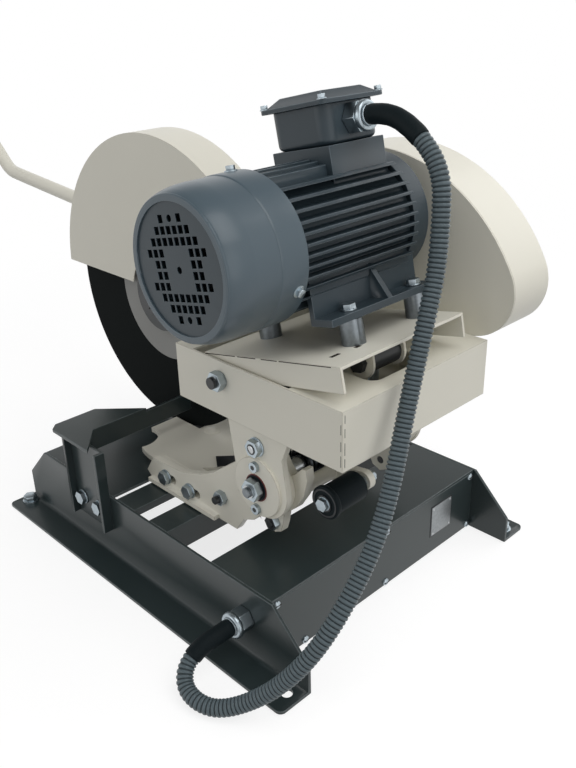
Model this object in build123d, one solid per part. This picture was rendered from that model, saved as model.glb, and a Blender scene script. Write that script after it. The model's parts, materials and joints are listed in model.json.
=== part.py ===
"""Pendulum cut-off saw: a motor and an abrasive disc on a swinging head, over a welded base.

Millimetres, +Z up. +X is the fan side, -Y the operator's side. The origin is on the floor, in
the middle of the four floor-bolt holes. The head is drawn down, with its box level.
"""
from build123d import *
import math
import os

# Fits and common fasteners
RUNNING_FIT = 0.05
FACE_GAP = 0.3
BOLT_HOLE_PLAY = 0.5
WASHER_T = 2.0

# A fastener's proportions, in thread radii
WASHER_SPREAD = 2.1
HEX_FLATS = 3.4
HEAD_HEIGHT = 1.3
NUT_HEIGHT = 1.6
SCREW_HEAD_SPREAD = 1.6

# Base: two bent side plates with floor flanges, joined by deck plates
BASE_SHEET = 4.0
BASE_HALF_WIDTH = 194.0
BASE_HALF_LENGTH = 293.0
DECK_Z = 92.0
FRONT_STEP = 42.0
FRONT_SLOPE = 45.0
REAR_STEP = 38.0
REAR_SLANT = 55.0
FLANGE_WIDTH = 43.0
FLANGE_CORNER_R = 8.0
FLOOR_HOLE_INSET = 17.0
FLOOR_HOLE_R = 6.5
PANEL_SHEET = 3.0
PANEL_INSET = 58.2
PANEL_CLEAR = 2.0
DECK_LIP = 22.0
REAR_DECK_FRONT = 130.5
FRONT_DECK_REAR = -71.0
# Each strip's front edge, rear edge and depth of its rear lip
DECK_STRIPS = ((9.0, 46.5, 36.0), (-62.0, -23.0, 11.0))

# Work tables on posts bolted to the side plates
TABLE_Z = 165.0
TABLE_T = 5.0
TABLE_OUTER = 211.0
TABLE_CORNER = 10.0
TABLE_INNER = 86.0
TABLE_EAR_INNER = 174.0
TABLE_EAR_Y = -84.0
TABLE_REAR_Y = -128.0
TABLE_FRONT_RIGHT = -180.0
TABLE_FRONT_LEFT = -216.0
SKIRT_BOTTOM = 134.0
SKIRT_OUTER = 186.0
SKIRT_INNER_RIGHT = 8.0
SKIRT_INNER_LEFT = 100.0
POST_SHEET = 5.0
POST_DEPTH = 15.0
POST_BOTTOM = 41.0
POST_SPAN = (-152.0, -72.0)
POST_BOLT_PITCH = 40.0
POST_BOLT_Z = 70.0
POST_BOLT_R = 5.0

# Vise on the left work table
VISE_X = -165.0
VISE_SCREW_Z = 189.0
VISE_SCREW_R = 8.0
VISE_SCREW_FRONT = -300.0
VISE_SOCKET_DEPTH = 12.0
JAW_WIDTH = 56.0
JAW_T = 20.0
JAW_HEIGHT = 48.0
JAW_FRONT = -212.0
FIXED_JAW_T = 8.0
VISE_BRACKET_SPAN = (-242.0, -228.0)
VISE_BRACKET_WIDTH = 40.0
VISE_BRACKET_TOP = 206.0
HANDWHEEL_R = 28.0
HANDWHEEL_T = 12.0
CRANK_R = 5.0
CRANK_OFFSET = 20.0
CRANK_LENGTH = 30.0

# Turntable, turning about a kingpin in the front deck
TURN_Y = -92.0
TURN_BASE_R = 100.0
TURN_BASE_T = 7.5
TURN_BASE_FRONT = -124.0
TURN_R = 107.0
TURN_T = 8.0
TURN_GAP = 0.5
TURN_FRONT = -166.0
SCALLOP_R = 34.0
SCALLOP_X = 90.0
SCALLOP_INSET = 5.5
DISC_SLOT_HALF = 9.0
DISC_SLOT_END = -109.5
KINGPIN_R = 11.0
KINGPIN_LENGTH = 42.0
KINGPIN_WASHER_R = 19.0
KINGPIN_WASHER_T = 3.0
KINGPIN_NUT_FLATS = 32.0
KINGPIN_NUT_T = 13.0
TAB_SPAN = (-60.0, 42.0)
TAB_REACH = 40.0
UPSTAND_T = 10.0
UPSTAND_HEIGHT = 18.0

# Yoke walls, hook plates and the rest of what turns with them
YOKE_MID = 16.0
WALL_INNER = 102.0
WALL_T = 10.0
WALL_FRONT = -78.0
WALL_FRONT_TOP = 129.0
WALL_BOTTOM = 94.0
WALL_LEFT_LIFT = 6.5
WALL_REAR_FOOT = 107.0
WALL_PIVOT_R = 40.0
WALL_TOE = (12.0, 10.0)
WALL_HEEL = ((14.0, 21.0), (32.5, 29.0))
WALL_BROW = ((-50.0, 9.0), (-95.0, -25.0), (-120.0, -38.0), (-161.5, -52.0))
WALL_FRONT_SLOPE = 17.0
FOOT_SPAN = (-66.0, 73.0)
FOOT_REACH = 8.0
FOOT_T = 6.0
YOKE_BOLT_Y = (-33.0, 17.0)
YOKE_BOLT_Z = 111.0
YOKE_BOLT_R = 5.0
YOKE_SLOT = 14.0
STUD_Y = 83.0
STUD_Z = 131.0
STUD_R = 5.0
STUD_OUT = 14.0
HOOK_T = 12.0
LUG_Y = 165.5
LUG_Z = 129.5
LUG_EDGE = ((14.0, 2.0), (10.0, -11.0), (0.0, -16.0), (-13.0, -11.0))
HORN_EDGE = (
    (-22.0, -38.0),
    (-34.5, -14.0),
    (-34.5, 16.0),
    (-16.5, 35.0),
    (19.0, 37.0),
    (25.0, 27.0),
    (32.5, 19.5),
    (39.0, 23.5),
    (51.0, 35.5),
    (57.0, 36.5),
    (59.0, 23.0),
    (53.0, 0.0),
    (40.0, -20.5),
    (21.0, -36.5),
)
TIE_Y = 194.0
TIE_Z = 179.0
TIE_R = 9.0
BUMPER_Y = 243.0
BUMPER_Z = 187.0
BUMPER_R = 13.5
BUMPER_SPAN = (58.0, 114.0)
BUMPER_DISC_R = 20.0
BUMPER_DISC_T = 6.0
BUMPER_BOLT_R = 4.0
BRACKET_T = 10.0
BRACKET_R = 11.5

# Swing pivot, arms and head box
PIVOT_Y = 161.5
PIVOT_Z = 184.0
PIVOT_R = 12.0
PIVOT_THREAD_R = 8.0
PIVOT_NUT_FLATS = 24.0
PIVOT_NUT_T = 9.0
ARM_T = 8.0
ARM_GAP = 1.0
ARM_TOP = 285.0
ARM_FRONT = 113.0
ARM_FRONT_LEAN = 5.0
ARM_REAR = 211.0
ARM_END_R = 42.0
ARM_END_OFFSET = (4.0, 3.5)
ARM_END_ANGLES = (12.0, 175.0)
ARM_NECK = (10.0, 24.0)
BEARING_OUTER_R = 21.0
BOSS_R = 37.0
BOSS_T = 3.5
BOSS_SCREW_OFFSET = 28.0
BOSS_SCREW_R = 4.0
ARM_NUT_Z = 236.0
ARM_NUT_R = 5.6
BRIDGE_SPAN = (120.0, 284.0)
BRIDGE_T = 6.0
SPRING_PEG_T = 6.0
SPRING_PEG_DROP = 18.0
BOX_RIGHT = 140.0
BOX_SHEET = 3.0
BOX_SPAN = (29.5, 292.0)
BOX_BOTTOM = 256.5
BOX_TOP = 325.5
OPENING_FRONT = (60.0, 215.0)
OPENING_LEFT = -75.0
WELL_X = (-20.0, 68.0)
WELL_REAR = 270.0
WELL_CORNER_R = 14.0

# Return spring round the pivot shaft
SPRING_WIRE_R = 3.0
SPRING_TURNS = 8
SPRING_PITCH = 7.0
SPRING_START_X = 14.0
SPRING_REAR_LEG = 46.0

# Disc, spindle and disc guard
DISC_R = 200.0
DISC_T = 4.0
DISC_Y = -182.0
DISC_Z = 296.0
SPINDLE_R = 15.0
DISC_BORE_R = 16.0
SPINDLE_END_R = 12.0
SPINDLE_END = 34.0
SPINDLE_NUT_FLATS = 36.0
SPINDLE_NUT_T = 18.0
CLAMP_R = 50.0
CLAMP_INNER_T = 20.0
CLAMP_OUTER_T = 9.0
HOUSING_R = 46.0
SPINDLE_BEARING_R = 31.0
SPINDLE_BEARING_T = 16.0
BEARING_INSET = 2.0
BEAM_RIGHT = -62.0
BEAM_HEIGHT = 54.0
GUARD_R = 229.5
GUARD_SHEET = 2.0
GUARD_RIGHT = 12.0
GUARD_LEFT = -47.0
GUARD_BOTTOM = 307.0
GUARD_REAR = 26.0
GUARD_NOTCH_R = 58.0
GUARD_BOLT_RING = 38.5
GUARD_BOLT_R = 4.0
GUARD_BOLT_DEPTH = 12.0
GUARD_BOLT_ANGLES = (40.0, 90.0, 140.0)

# Handle on the guard's rim
HANDLE_X = -17.0
HANDLE_R = 10.5
HANDLE_START = (-380.0, 395.0)
HANDLE_BEND = (-627.0, 416.0)
HANDLE_END = (-772.0, 543.0)
HANDLE_BEND_R = 50.0
GRIP_LENGTH = 105.0
GRIP_R = 15.0
GRIP_CAP = 5.0

# Motor plate and motor, in a frame tilted about X
HINGE_Y = 109.0
HINGE_Z = 303.0
HINGE_R = 7.0
HINGE_EAR_R = 13.0
HINGE_NUT_FLATS = 21.0
HINGE_NUT_T = 9.0
HINGE_OUT = 16.0
WELD_NUT_FLATS = 17.0
WELD_NUT_T = 10.0
TILT = 12.0
HINGE_V = -73.7
HINGE_W = -142.1
PLATE_T = 4.0
PLATE_X = (-67.0, 134.0)
PLATE_V = (-103.0, 110.0)
PLATE_FLANGE = 28.0
SHAFT_HEIGHT = 86.0
SPACER_LENGTH = 28.0
SPACER_R = 13.0
FOOT_MID_X = 9.8
FOOT_HOLES_X = 107.0
FOOT_HOLES_V = 130.0
FOOT_BOLT_R = 4.0
MOTOR_FOOT_T = 8.0
MOTOR_FOOT_WIDTH = 24.0
MOTOR_FOOT_X = (-64.0, 102.0)
FOOT_WEB_T = 7.0
FOOT_WEB_TOP = -24.0
FOOT_GUSSET_T = 7.0
FOOT_GUSSET_TOP = -40.0
BODY_X = (-55.0, 127.0)
BODY_CORE_R = 64.0
BODY_FIN_R = 76.0
FIN_T = 3.2
FIN_PITCH = 11.0
LEVEL_FINS = 11
UPRIGHT_FINS = 7
STATOR_R = 42.0
ROTOR_GAP = 0.5
BACK_WALL = 14.0
REAR_FLANGE_T = 6.0
COVER_R = 79.0
COVER_SHEET = 1.5
COVER_FACE_X = 218.0
COVER_SHOULDER_R = 9.0
COVER_RIM = 4.0
COVER_RECESS = 2.0
GRILLE_PITCH_V = 9.6
GRILLE_PITCH_W = 11.0
GRILLE_HOLE_V = 7.2
GRILLE_HOLE_W = 8.0
GRILLE_ROUND_R = 3.6
GRILLE_ROWS = ((1,), (0, 1, 2), (0, 1, 2, 3), (2, 3, 4), (2, 3))
SHIELD_R = 70.0
SHIELD_LEFT = -80.0
SHIELD_BOSS_R = 32.0
SHIELD_BOSS_T = 9.0
MOTOR_SHAFT_R = 9.5
FAN_R = 62.0
FAN_HUB_R = 16.0
FAN_SPAN = (138.0, 160.0)
FAN_DISC_T = 3.0
FAN_BLADE_T = 2.5
FAN_BLADES = 8
TERMINAL_X = -9.8
TERMINAL_HALF = 42.0
TERMINAL_WALL = 3.0
TERMINAL_CORNER_R = 16.0
TERMINAL_BASE_W = 86.0
TERMINAL_TOP_W = 127.0
PAD_HALF = 43.0
LID_HALF = 49.0
LID_T = 5.0
LID_CORNER_R = 9.0
LID_HIP_FOOT = 43.0
LID_HIP_TOP = 31.0
LID_HIP_T = 9.0
MOTOR_GLAND_W = 109.0
TRUNNION_V = 58.9
TRUNNION_W = -138.6
TRUNNION_X = (1.0, 49.0)
TRUNNION_R = 15.0
TRUNNION_PIN_R = 7.0
TRUNNION_NUT_T = 7.0
TRUNNION_NUT_FLATS = 19.0
EAR_T = 4.0
EAR_R = 19.0
TENSION_X = 30.0
TENSION_R = 6.0
TENSION_PLAY = 3.5
TENSION_NUT_FLATS = 19.0
TENSION_NUT_T = 10.0

# Belt drive and its guard
BELT_PLANES = (-131.0, -147.0)
BELT_WIDTH = 10.0
BELT_OUT = 3.0
BELT_IN = 5.0
GROOVE_PLAY = 0.4
PULLEY_RIM = 1.0
PULLEY_MARGIN = 9.0
MOTOR_PULLEY_R = 49.0
SPINDLE_PULLEY_R = 39.0
BELT_GUARD_SHEET = 2.0
BELT_GUARD_DEPTH = 70.0
BELT_GUARD_FRONT_R = 78.0
BELT_GUARD_TOP_R = 220.0
BELT_GUARD_TOP = (120.0, 304.5)
BELT_GUARD_REAR_R = 57.0
BELT_GUARD_REAR_ANGLE = 28.1
BELT_GUARD_SHAFT_R = 40.0

# Conduit from the terminal box to the base, with a rubber sleeve at each end
CONDUIT_R = 9.7
CONDUIT_GROOVE_R = 8.2
CONDUIT_BORE_R = 6.5
RIB_PITCH = 4.9
SLEEVE_R = 10.6
UPPER_SLEEVE = 66.0
LOWER_SLEEVE = 54.0
BASE_GLAND_FLATS = 27.0
MOTOR_GLAND_FLATS = 31.0
GLAND_HEX_T = 16.0
GLAND_LENGTH = 24.0
GLAND_R = 11.0
BASE_GLAND_INSET = 100.0
BASE_GLAND_Z = 49.0
CONDUIT_BEND_SHARE = 0.45
CONDUIT_EXIT_RUN = 40.0
CONDUIT_POINTS = (
    (-8.0, 275.0, 573.0),
    (-4.0, 297.0, 534.0),
    (3.0, 304.0, 490.0),
    (16.0, 310.0, 440.0),
    (36.0, 315.0, 394.0),
    (56.0, 316.0, 344.0),
    (80.0, 319.0, 291.0),
    (108.0, 329.0, 238.0),
    (142.0, 336.0, 187.0),
    (190.0, 336.0, 135.0),
)
# The last points, from the mouth of the base's gland
CONDUIT_TAIL = (
    (4.0, 132.0, 44.0),
    (25.0, 108.0, 5.0),
    (44.0, 80.0, -24.0),
    (64.0, 54.0, -38.0),
    (74.0, 31.0, -37.5),
    (73.0, 7.0, -33.0),
    (61.0, -5.0, -18.0),
    (39.0, -4.0, -5.0),
    (20.0, 0.0, 0.0),
)

# Places that follow from the sizes above
BASE_INNER = BASE_HALF_WIDTH - BASE_SHEET
FLOOR_HOLE_X = BASE_HALF_WIDTH + FLOOR_HOLE_INSET
FLOOR_HOLE_Y = BASE_HALF_LENGTH - FLOOR_HOLE_INSET
PANEL_Y = BASE_HALF_LENGTH - PANEL_INSET
BASE_GLAND_Y = BASE_HALF_LENGTH - BASE_GLAND_INSET
FRONT_TOP = -BASE_HALF_LENGTH + (DECK_Z - FRONT_STEP) / math.tan(math.radians(FRONT_SLOPE))
DECK_UNDER = DECK_Z - BASE_SHEET
TABLE_UNDER = TABLE_Z - TABLE_T
POST_MID = (POST_SPAN[0] + POST_SPAN[1]) / 2
POST_FACE = BASE_HALF_WIDTH + POST_SHEET
TURN_BOTTOM = DECK_Z + TURN_BASE_T + TURN_GAP
TURN_TOP = TURN_BOTTOM + TURN_T
WALL_OUTER = WALL_INNER + WALL_T
ARM_INNER = WALL_OUTER + ARM_GAP
ARM_OUTER = ARM_INNER + ARM_T
BOX_LEFT = YOKE_MID - ARM_OUTER - BOX_SHEET
MOTOR_U = Vector(0, math.cos(math.radians(TILT)), math.sin(math.radians(TILT)))
MOTOR_N = Vector(0, -math.sin(math.radians(TILT)), math.cos(math.radians(TILT)))
MOTOR_ORIGIN = Vector(0, HINGE_Y, HINGE_Z) - MOTOR_U * HINGE_V - MOTOR_N * HINGE_W
MOTOR = Plane(MOTOR_ORIGIN, x_dir=(1, 0, 0), z_dir=MOTOR_N).location
MOTOR_AT = (MOTOR_ORIGIN.Y, MOTOR_ORIGIN.Z)
SPINDLE_AT = (DISC_Y, DISC_Z)
PIVOT_AT = (PIVOT_Y, PIVOT_Z)
PLATE_TOP_W = -SHAFT_HEIGHT - SPACER_LENGTH
PLATE_UNDER_W = PLATE_TOP_W - PLATE_T
TRUNNION_AT = MOTOR_ORIGIN + MOTOR_U * TRUNNION_V + MOTOR_N * TRUNNION_W
GUARD_BACK_LEFT = BOX_LEFT - BELT_GUARD_SHEET
COVER_GRILLE_X = COVER_FACE_X - COVER_RECESS
DISC_FACE = DISC_T / 2

NODES = {}


def ordered(a, b):
    """Two bounds, the lower one first."""
    return (min(a, b), max(a, b))


def block(x, y, z):
    """A box between two bounds on each axis."""
    spans = (x, y, z)
    return Pos(*[(a + b) / 2 for a, b in spans]) * Box(*[b - a for a, b in spans])


def across(axis, at, start):
    """The plane square to an axis, at the two other coordinates given."""
    if axis == "x":
        return Plane((start, at[0], at[1]), x_dir=(0, 1, 0), z_dir=(1, 0, 0))
    if axis == "y":
        return Plane((at[0], start, at[1]), x_dir=(1, 0, 0), z_dir=(0, 1, 0))
    return Plane((at[0], at[1], start), x_dir=(1, 0, 0), z_dir=(0, 0, 1))


def prism(axis, at, sketch, span):
    """A sketch drawn out along an axis."""
    low, high = ordered(*span)
    plane = across(axis, at, low)
    return extrude(plane * sketch, high - low, dir=plane.z_dir)


def drum(axis, at, radius, span):
    """A cylinder along an axis."""
    return prism(axis, at, Circle(radius), span)


def ring(axis, at, outer, inner, span):
    """A cylinder with a bore."""
    return prism(axis, at, Circle(outer) - Circle(inner), span)


def hexagon(axis, at, flats, span):
    """A hexagonal prism along an axis."""
    return prism(axis, at, RegularPolygon(flats / 2, 6, major_radius=False), span)


def plate_x(points, x):
    """An outline in (Y, Z), as thick as the two X bounds."""
    return prism("x", (0, 0), Polygon(*points, align=None), x)


def plate_z(points, z):
    """An outline in (X, Y), as thick as the two Z bounds."""
    return prism("z", (0, 0), Polygon(*points, align=None), z)


def hex_bolt(axis, at, radius, seat, tip):
    """A hex bolt and its washer, from the face that the washer lies on to the bolt's tip."""
    out = math.copysign(1, seat - tip)
    under_head = seat + out * WASHER_T
    top = under_head + out * HEAD_HEIGHT * radius
    washer = drum(axis, at, WASHER_SPREAD * radius, (seat, under_head))
    head = hexagon(axis, at, HEX_FLATS * radius, (under_head, top))
    return washer + head + drum(axis, at, radius, (tip, under_head))


def nut(axis, at, radius, flats, span):
    """A hexagon nut whose bore is the thread's size."""
    return hexagon(axis, at, flats, span) - drum(axis, at, radius, span)


def mirrored(shape):
    """The same shape on the other side of the yoke's middle plane."""
    return mirror(shape, Plane((YOKE_MID, 0, 0), x_dir=(0, 1, 0), z_dir=(1, 0, 0)))


def polar(centre, radius, degrees):
    """A point on a circle."""
    turn = math.radians(degrees)
    return (centre[0] + radius * math.cos(turn), centre[1] + radius * math.sin(turn))


def tangent_normal(a, a_radius, b, b_radius, side):
    """The angle at which a line touches two circles on one side of the way from a to b."""
    run = Vector(b[0] - a[0], b[1] - a[1])
    lean = math.degrees(math.acos((a_radius - b_radius) / run.length))
    return math.degrees(math.atan2(run.Y, run.X)) + side * lean


def belt_face(a, a_radius, b, b_radius):
    """The face inside a belt round two circles."""
    upper = tangent_normal(a, a_radius, b, b_radius, 1)
    lower = tangent_normal(a, a_radius, b, b_radius, -1)
    edges = [
        Line(polar(a, a_radius, lower), polar(b, b_radius, lower)),
        CenterArc(b, b_radius, lower, upper - lower),
        Line(polar(b, b_radius, upper), polar(a, a_radius, upper)),
        CenterArc(a, a_radius, upper, 360 + lower - upper),
    ]
    return make_face(edges)


def add(name, *shapes):
    """Keep a node, made of one or more solids."""
    solids = [solid for shape in shapes for solid in shape.solids()]
    NODES[name] = solids[0] if len(solids) == 1 else Compound(solids)


def floor_hole_cuts():
    """The four floor-bolt holes."""
    places = [(x, y) for x in (-FLOOR_HOLE_X, FLOOR_HOLE_X) for y in (-FLOOR_HOLE_Y, FLOOR_HOLE_Y)]
    return [drum("z", at, FLOOR_HOLE_R, (0, BASE_SHEET)) for at in places]


def post_bolt_places():
    """Where the two bolts of a post go through the side plate, in (Y, Z)."""
    return [(POST_MID + s * POST_BOLT_PITCH / 2, POST_BOLT_Z) for s in (-1, 1)]


def post_bolt_cuts():
    """The bolt holes through a right-hand post and side plate."""
    radius = POST_BOLT_R + BOLT_HOLE_PLAY
    return [drum("x", at, radius, (BASE_INNER, POST_FACE)) for at in post_bolt_places()]


def side_plate():
    """The right-hand side plate: an upright web and an outward floor flange."""
    web = plate_x(
        [
            (-BASE_HALF_LENGTH, 0),
            (BASE_HALF_LENGTH, 0),
            (BASE_HALF_LENGTH, REAR_STEP),
            (BASE_HALF_LENGTH - REAR_SLANT, DECK_Z),
            (FRONT_TOP, DECK_Z),
            (-BASE_HALF_LENGTH, FRONT_STEP),
        ],
        (BASE_INNER, BASE_HALF_WIDTH),
    )
    edge = BASE_HALF_WIDTH + FLANGE_WIDTH
    length = (-BASE_HALF_LENGTH, BASE_HALF_LENGTH)
    flange = block((BASE_INNER, edge), length, (0, BASE_SHEET))
    corners = flange.edges().filter_by(Axis.Z).group_by(Axis.X)[-1]
    return web + fillet(corners, FLANGE_CORNER_R)


def base():
    """The side plates, the decks between them and the panels that close the ends."""
    right = side_plate() - floor_hole_cuts() - post_bolt_cuts()
    left = mirror(right, Plane.YZ)
    gland_at = (BASE_GLAND_Y, BASE_GLAND_Z)
    right -= drum("x", gland_at, GLAND_R, (BASE_INNER, BASE_HALF_WIDTH))
    add("side_plate_right", right)
    add("side_plate_left", left)

    width = (-BASE_INNER, BASE_INNER)
    top = (DECK_UNDER, DECK_Z)
    lip = (DECK_Z - DECK_LIP, DECK_UNDER)
    front_lip = (REAR_DECK_FRONT, REAR_DECK_FRONT + BASE_SHEET)
    add("rear_deck", block(width, (REAR_DECK_FRONT, PANEL_Y), top) + block(width, front_lip, lip))
    strips = []
    for front, rear, depth in DECK_STRIPS:
        rear_lip = block(width, (rear - BASE_SHEET, rear), (DECK_Z - depth, DECK_UNDER))
        strips.append(block(width, (front, rear), top) + rear_lip)
    add("deck_strips", *strips)

    front_deck = block(width, (FRONT_TOP, FRONT_DECK_REAR), top)
    add("front_deck", front_deck - drum("z", (0, TURN_Y), KINGPIN_R + RUNNING_FIT, top))
    add("rear_panel", block(width, (PANEL_Y - PANEL_SHEET, PANEL_Y), (PANEL_CLEAR, DECK_UNDER)))
    face = -BASE_HALF_LENGTH
    back = face + PANEL_SHEET
    bend = PANEL_SHEET * math.tan(math.radians(FRONT_SLOPE / 2))
    top_inner = FRONT_TOP - BASE_SHEET / math.tan(math.radians(FRONT_SLOPE))
    add(
        "front_panel",
        plate_x(
            [
                (face, PANEL_CLEAR),
                (back, PANEL_CLEAR),
                (back, FRONT_STEP - bend),
                (top_inner + PANEL_SHEET / math.sin(math.radians(FRONT_SLOPE)), DECK_UNDER),
                (top_inner, DECK_UNDER),
                (face, FRONT_STEP),
            ],
            width,
        ),
    )
    hex_span = (BASE_HALF_WIDTH, BASE_HALF_WIDTH + GLAND_HEX_T)
    end = BASE_HALF_WIDTH + GLAND_LENGTH
    gland = hexagon("x", gland_at, BASE_GLAND_FLATS, hex_span)
    gland += drum("x", gland_at, GLAND_R, (BASE_INNER - BASE_SHEET, end))
    add("base_gland", gland - drum("x", gland_at, CONDUIT_BORE_R, (BASE_INNER - BASE_SHEET, end)))


def work_table(front, skirt_inner):
    """A right-hand work table: its plate, the skirt under its rear edge and its channel post."""
    notch = TABLE_REAR_Y - front
    plate = plate_z(
        [
            (TABLE_OUTER, TABLE_EAR_Y),
            (TABLE_OUTER, front + TABLE_CORNER),
            (TABLE_OUTER - TABLE_CORNER, front),
            (TABLE_INNER + notch, front),
            (TABLE_INNER, TABLE_REAR_Y),
            (TABLE_EAR_INNER, TABLE_REAR_Y),
        ],
        (TABLE_UNDER, TABLE_Z),
    )
    skirt_y = (TABLE_REAR_Y - TABLE_T, TABLE_REAR_Y)
    skirt = block((skirt_inner, SKIRT_OUTER), skirt_y, (SKIRT_BOTTOM, TABLE_UNDER))
    height = (POST_BOTTOM, TABLE_UNDER)
    post = block((BASE_HALF_WIDTH, POST_FACE), POST_SPAN, height)
    depth = (BASE_HALF_WIDTH, BASE_HALF_WIDTH + POST_DEPTH)
    post += block(depth, (POST_SPAN[0], POST_SPAN[0] + POST_SHEET), height)
    post += block(depth, (POST_SPAN[1] - POST_SHEET, POST_SPAN[1]), height)
    return plate + skirt + post - post_bolt_cuts()


def work_tables():
    """Both tables and the bolts of their posts."""
    add("work_table_right", work_table(TABLE_FRONT_RIGHT, SKIRT_INNER_RIGHT))
    add("work_table_left", mirror(work_table(TABLE_FRONT_LEFT, SKIRT_INNER_LEFT), Plane.YZ))
    nut_t = NUT_HEIGHT * POST_BOLT_R
    bolts = []
    for at in post_bolt_places():
        bolt = hex_bolt("x", at, POST_BOLT_R, POST_FACE, BASE_INNER - nut_t - POST_BOLT_R)
        bolt += hexagon("x", at, HEX_FLATS * POST_BOLT_R, (BASE_INNER - nut_t, BASE_INNER))
        bolts += [bolt, mirror(bolt, Plane.YZ)]
    add("post_bolts", *bolts)


def vise():
    """The fixed jaw, the sliding jaw, its screw with a handwheel, and the screw's bracket."""
    width = (VISE_X - JAW_WIDTH / 2, VISE_X + JAW_WIDTH / 2)
    top = TABLE_Z + JAW_HEIGHT
    fixed_y = (TABLE_REAR_Y - FIXED_JAW_T, TABLE_REAR_Y)
    add("fixed_jaw", block(width, fixed_y, (TABLE_Z, top)))
    at = (VISE_X, VISE_SCREW_Z)
    socket = JAW_FRONT + VISE_SOCKET_DEPTH
    jaw = block(width, (JAW_FRONT, JAW_FRONT + JAW_T), (TABLE_Z + FACE_GAP, top))
    add("vise_jaw", jaw - drum("y", at, VISE_SCREW_R + RUNNING_FIT, (JAW_FRONT, socket)))
    wheel_front = VISE_SCREW_FRONT - HANDWHEEL_T
    screw = drum("y", at, VISE_SCREW_R, (VISE_SCREW_FRONT, socket - FACE_GAP))
    screw += drum("y", at, HANDWHEEL_R, (wheel_front, VISE_SCREW_FRONT))
    crank_at = (VISE_X, VISE_SCREW_Z + CRANK_OFFSET)
    screw += drum("y", crank_at, CRANK_R, (wheel_front - CRANK_LENGTH, wheel_front))
    add("vise_screw", screw)
    sides = (VISE_X - VISE_BRACKET_WIDTH / 2, VISE_X + VISE_BRACKET_WIDTH / 2)
    bracket = block(sides, VISE_BRACKET_SPAN, (DECK_Z, VISE_BRACKET_TOP))
    add("vise_bracket", bracket - drum("y", at, VISE_SCREW_R + FACE_GAP, VISE_BRACKET_SPAN))


def turntable():
    """The fixed round base plate, the turning plate with its upstands, and the kingpin."""
    at = (0, TURN_Y)
    low = (DECK_Z, DECK_Z + TURN_BASE_T)
    fixed = ring("z", at, TURN_BASE_R, KINGPIN_R + RUNNING_FIT, low)
    cut_y = (TURN_Y - TURN_BASE_R, TURN_BASE_FRONT)
    add("turntable_base", fixed - block((-TURN_BASE_R, TURN_BASE_R), cut_y, low))

    flat = (TURN_BOTTOM, TURN_TOP)
    front = (TURN_Y - TURN_R, TURN_FRONT)
    plate = drum("z", at, TURN_R, flat) - block((-TURN_R, TURN_R), front, flat)
    for side in (-1, 1):
        plate -= drum("z", (side * SCALLOP_X, TURN_FRONT + SCALLOP_INSET), SCALLOP_R, flat)
    plate -= block((-DISC_SLOT_HALF, DISC_SLOT_HALF), (TURN_FRONT, DISC_SLOT_END), flat)
    face = YOKE_MID + WALL_INNER
    tab = block((face - TAB_REACH, face), TAB_SPAN, flat)
    upstand_z = (TURN_TOP, TURN_TOP + UPSTAND_HEIGHT)
    upstand = block((face - UPSTAND_T, face), TAB_SPAN, upstand_z)
    left_face = 2 * YOKE_MID - face
    plate -= block((-TURN_R, left_face), (TURN_Y - TURN_R, TURN_Y + TURN_R), flat)
    plate = plate + tab + upstand + mirrored(tab + upstand)
    for y in YOKE_BOLT_Y:
        hole = drum("x", (y, YOKE_BOLT_Z), YOKE_BOLT_R, (face - UPSTAND_T, face))
        plate = plate - hole - mirrored(hole)
    add("turntable", plate - drum("z", at, KINGPIN_R, flat))

    nut_top = DECK_UNDER - FACE_GAP - KINGPIN_WASHER_T
    washer_z = (nut_top, nut_top + KINGPIN_WASHER_T)
    pin = drum("z", at, KINGPIN_R, (TURN_TOP - KINGPIN_LENGTH, TURN_TOP))
    pin += drum("z", at, KINGPIN_WASHER_R, washer_z)
    pin += hexagon("z", at, KINGPIN_NUT_FLATS, (nut_top - KINGPIN_NUT_T, nut_top))
    add("kingpin", pin)


def wall_outline(bottom):
    """A yoke wall's outline in (Y, Z), up to the pivot's centre."""
    toe_y, toe_z = WALL_TOE
    return [
        (WALL_FRONT, bottom + toe_z),
        (WALL_FRONT + toe_y, bottom),
        (WALL_REAR_FOOT, bottom),
        *[(WALL_REAR_FOOT + y, bottom + z) for y, z in WALL_HEEL],
        (PIVOT_Y, PIVOT_Z - WALL_PIVOT_R),
        (PIVOT_Y, PIVOT_Z + WALL_PIVOT_R),
        *[(PIVOT_Y + y, PIVOT_Z + z) for y, z in WALL_BROW],
        (WALL_FRONT + WALL_FRONT_SLOPE, WALL_FRONT_TOP),
    ]


def yoke_wall(bottom):
    """A right-hand yoke wall, bored for the pivot shaft and slotted for its two bolts."""
    x = (YOKE_MID + WALL_INNER, YOKE_MID + WALL_OUTER)
    wall = plate_x(wall_outline(bottom), x) + drum("x", PIVOT_AT, WALL_PIVOT_R, x)
    slot_half = YOKE_BOLT_R + BOLT_HOLE_PLAY
    for y in YOKE_BOLT_Y:
        wall -= drum("x", (y, YOKE_BOLT_Z), slot_half, x)
        wall -= drum("x", (y + YOKE_SLOT, YOKE_BOLT_Z), slot_half, x)
        wall -= block(x, (y, y + YOKE_SLOT), (YOKE_BOLT_Z - slot_half, YOKE_BOLT_Z + slot_half))
    wall -= drum("x", (STUD_Y, STUD_Z), STUD_R, x)
    return wall - drum("x", PIVOT_AT, PIVOT_R, x)


def hook_outline():
    """A hook plate's outline in (Y, Z): a horn with a notch behind the pivot and a lug below."""
    horn = [(PIVOT_Y + y, PIVOT_Z + z) for y, z in HORN_EDGE]
    return horn + [(LUG_Y + y, LUG_Z + z) for y, z in LUG_EDGE]


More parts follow.
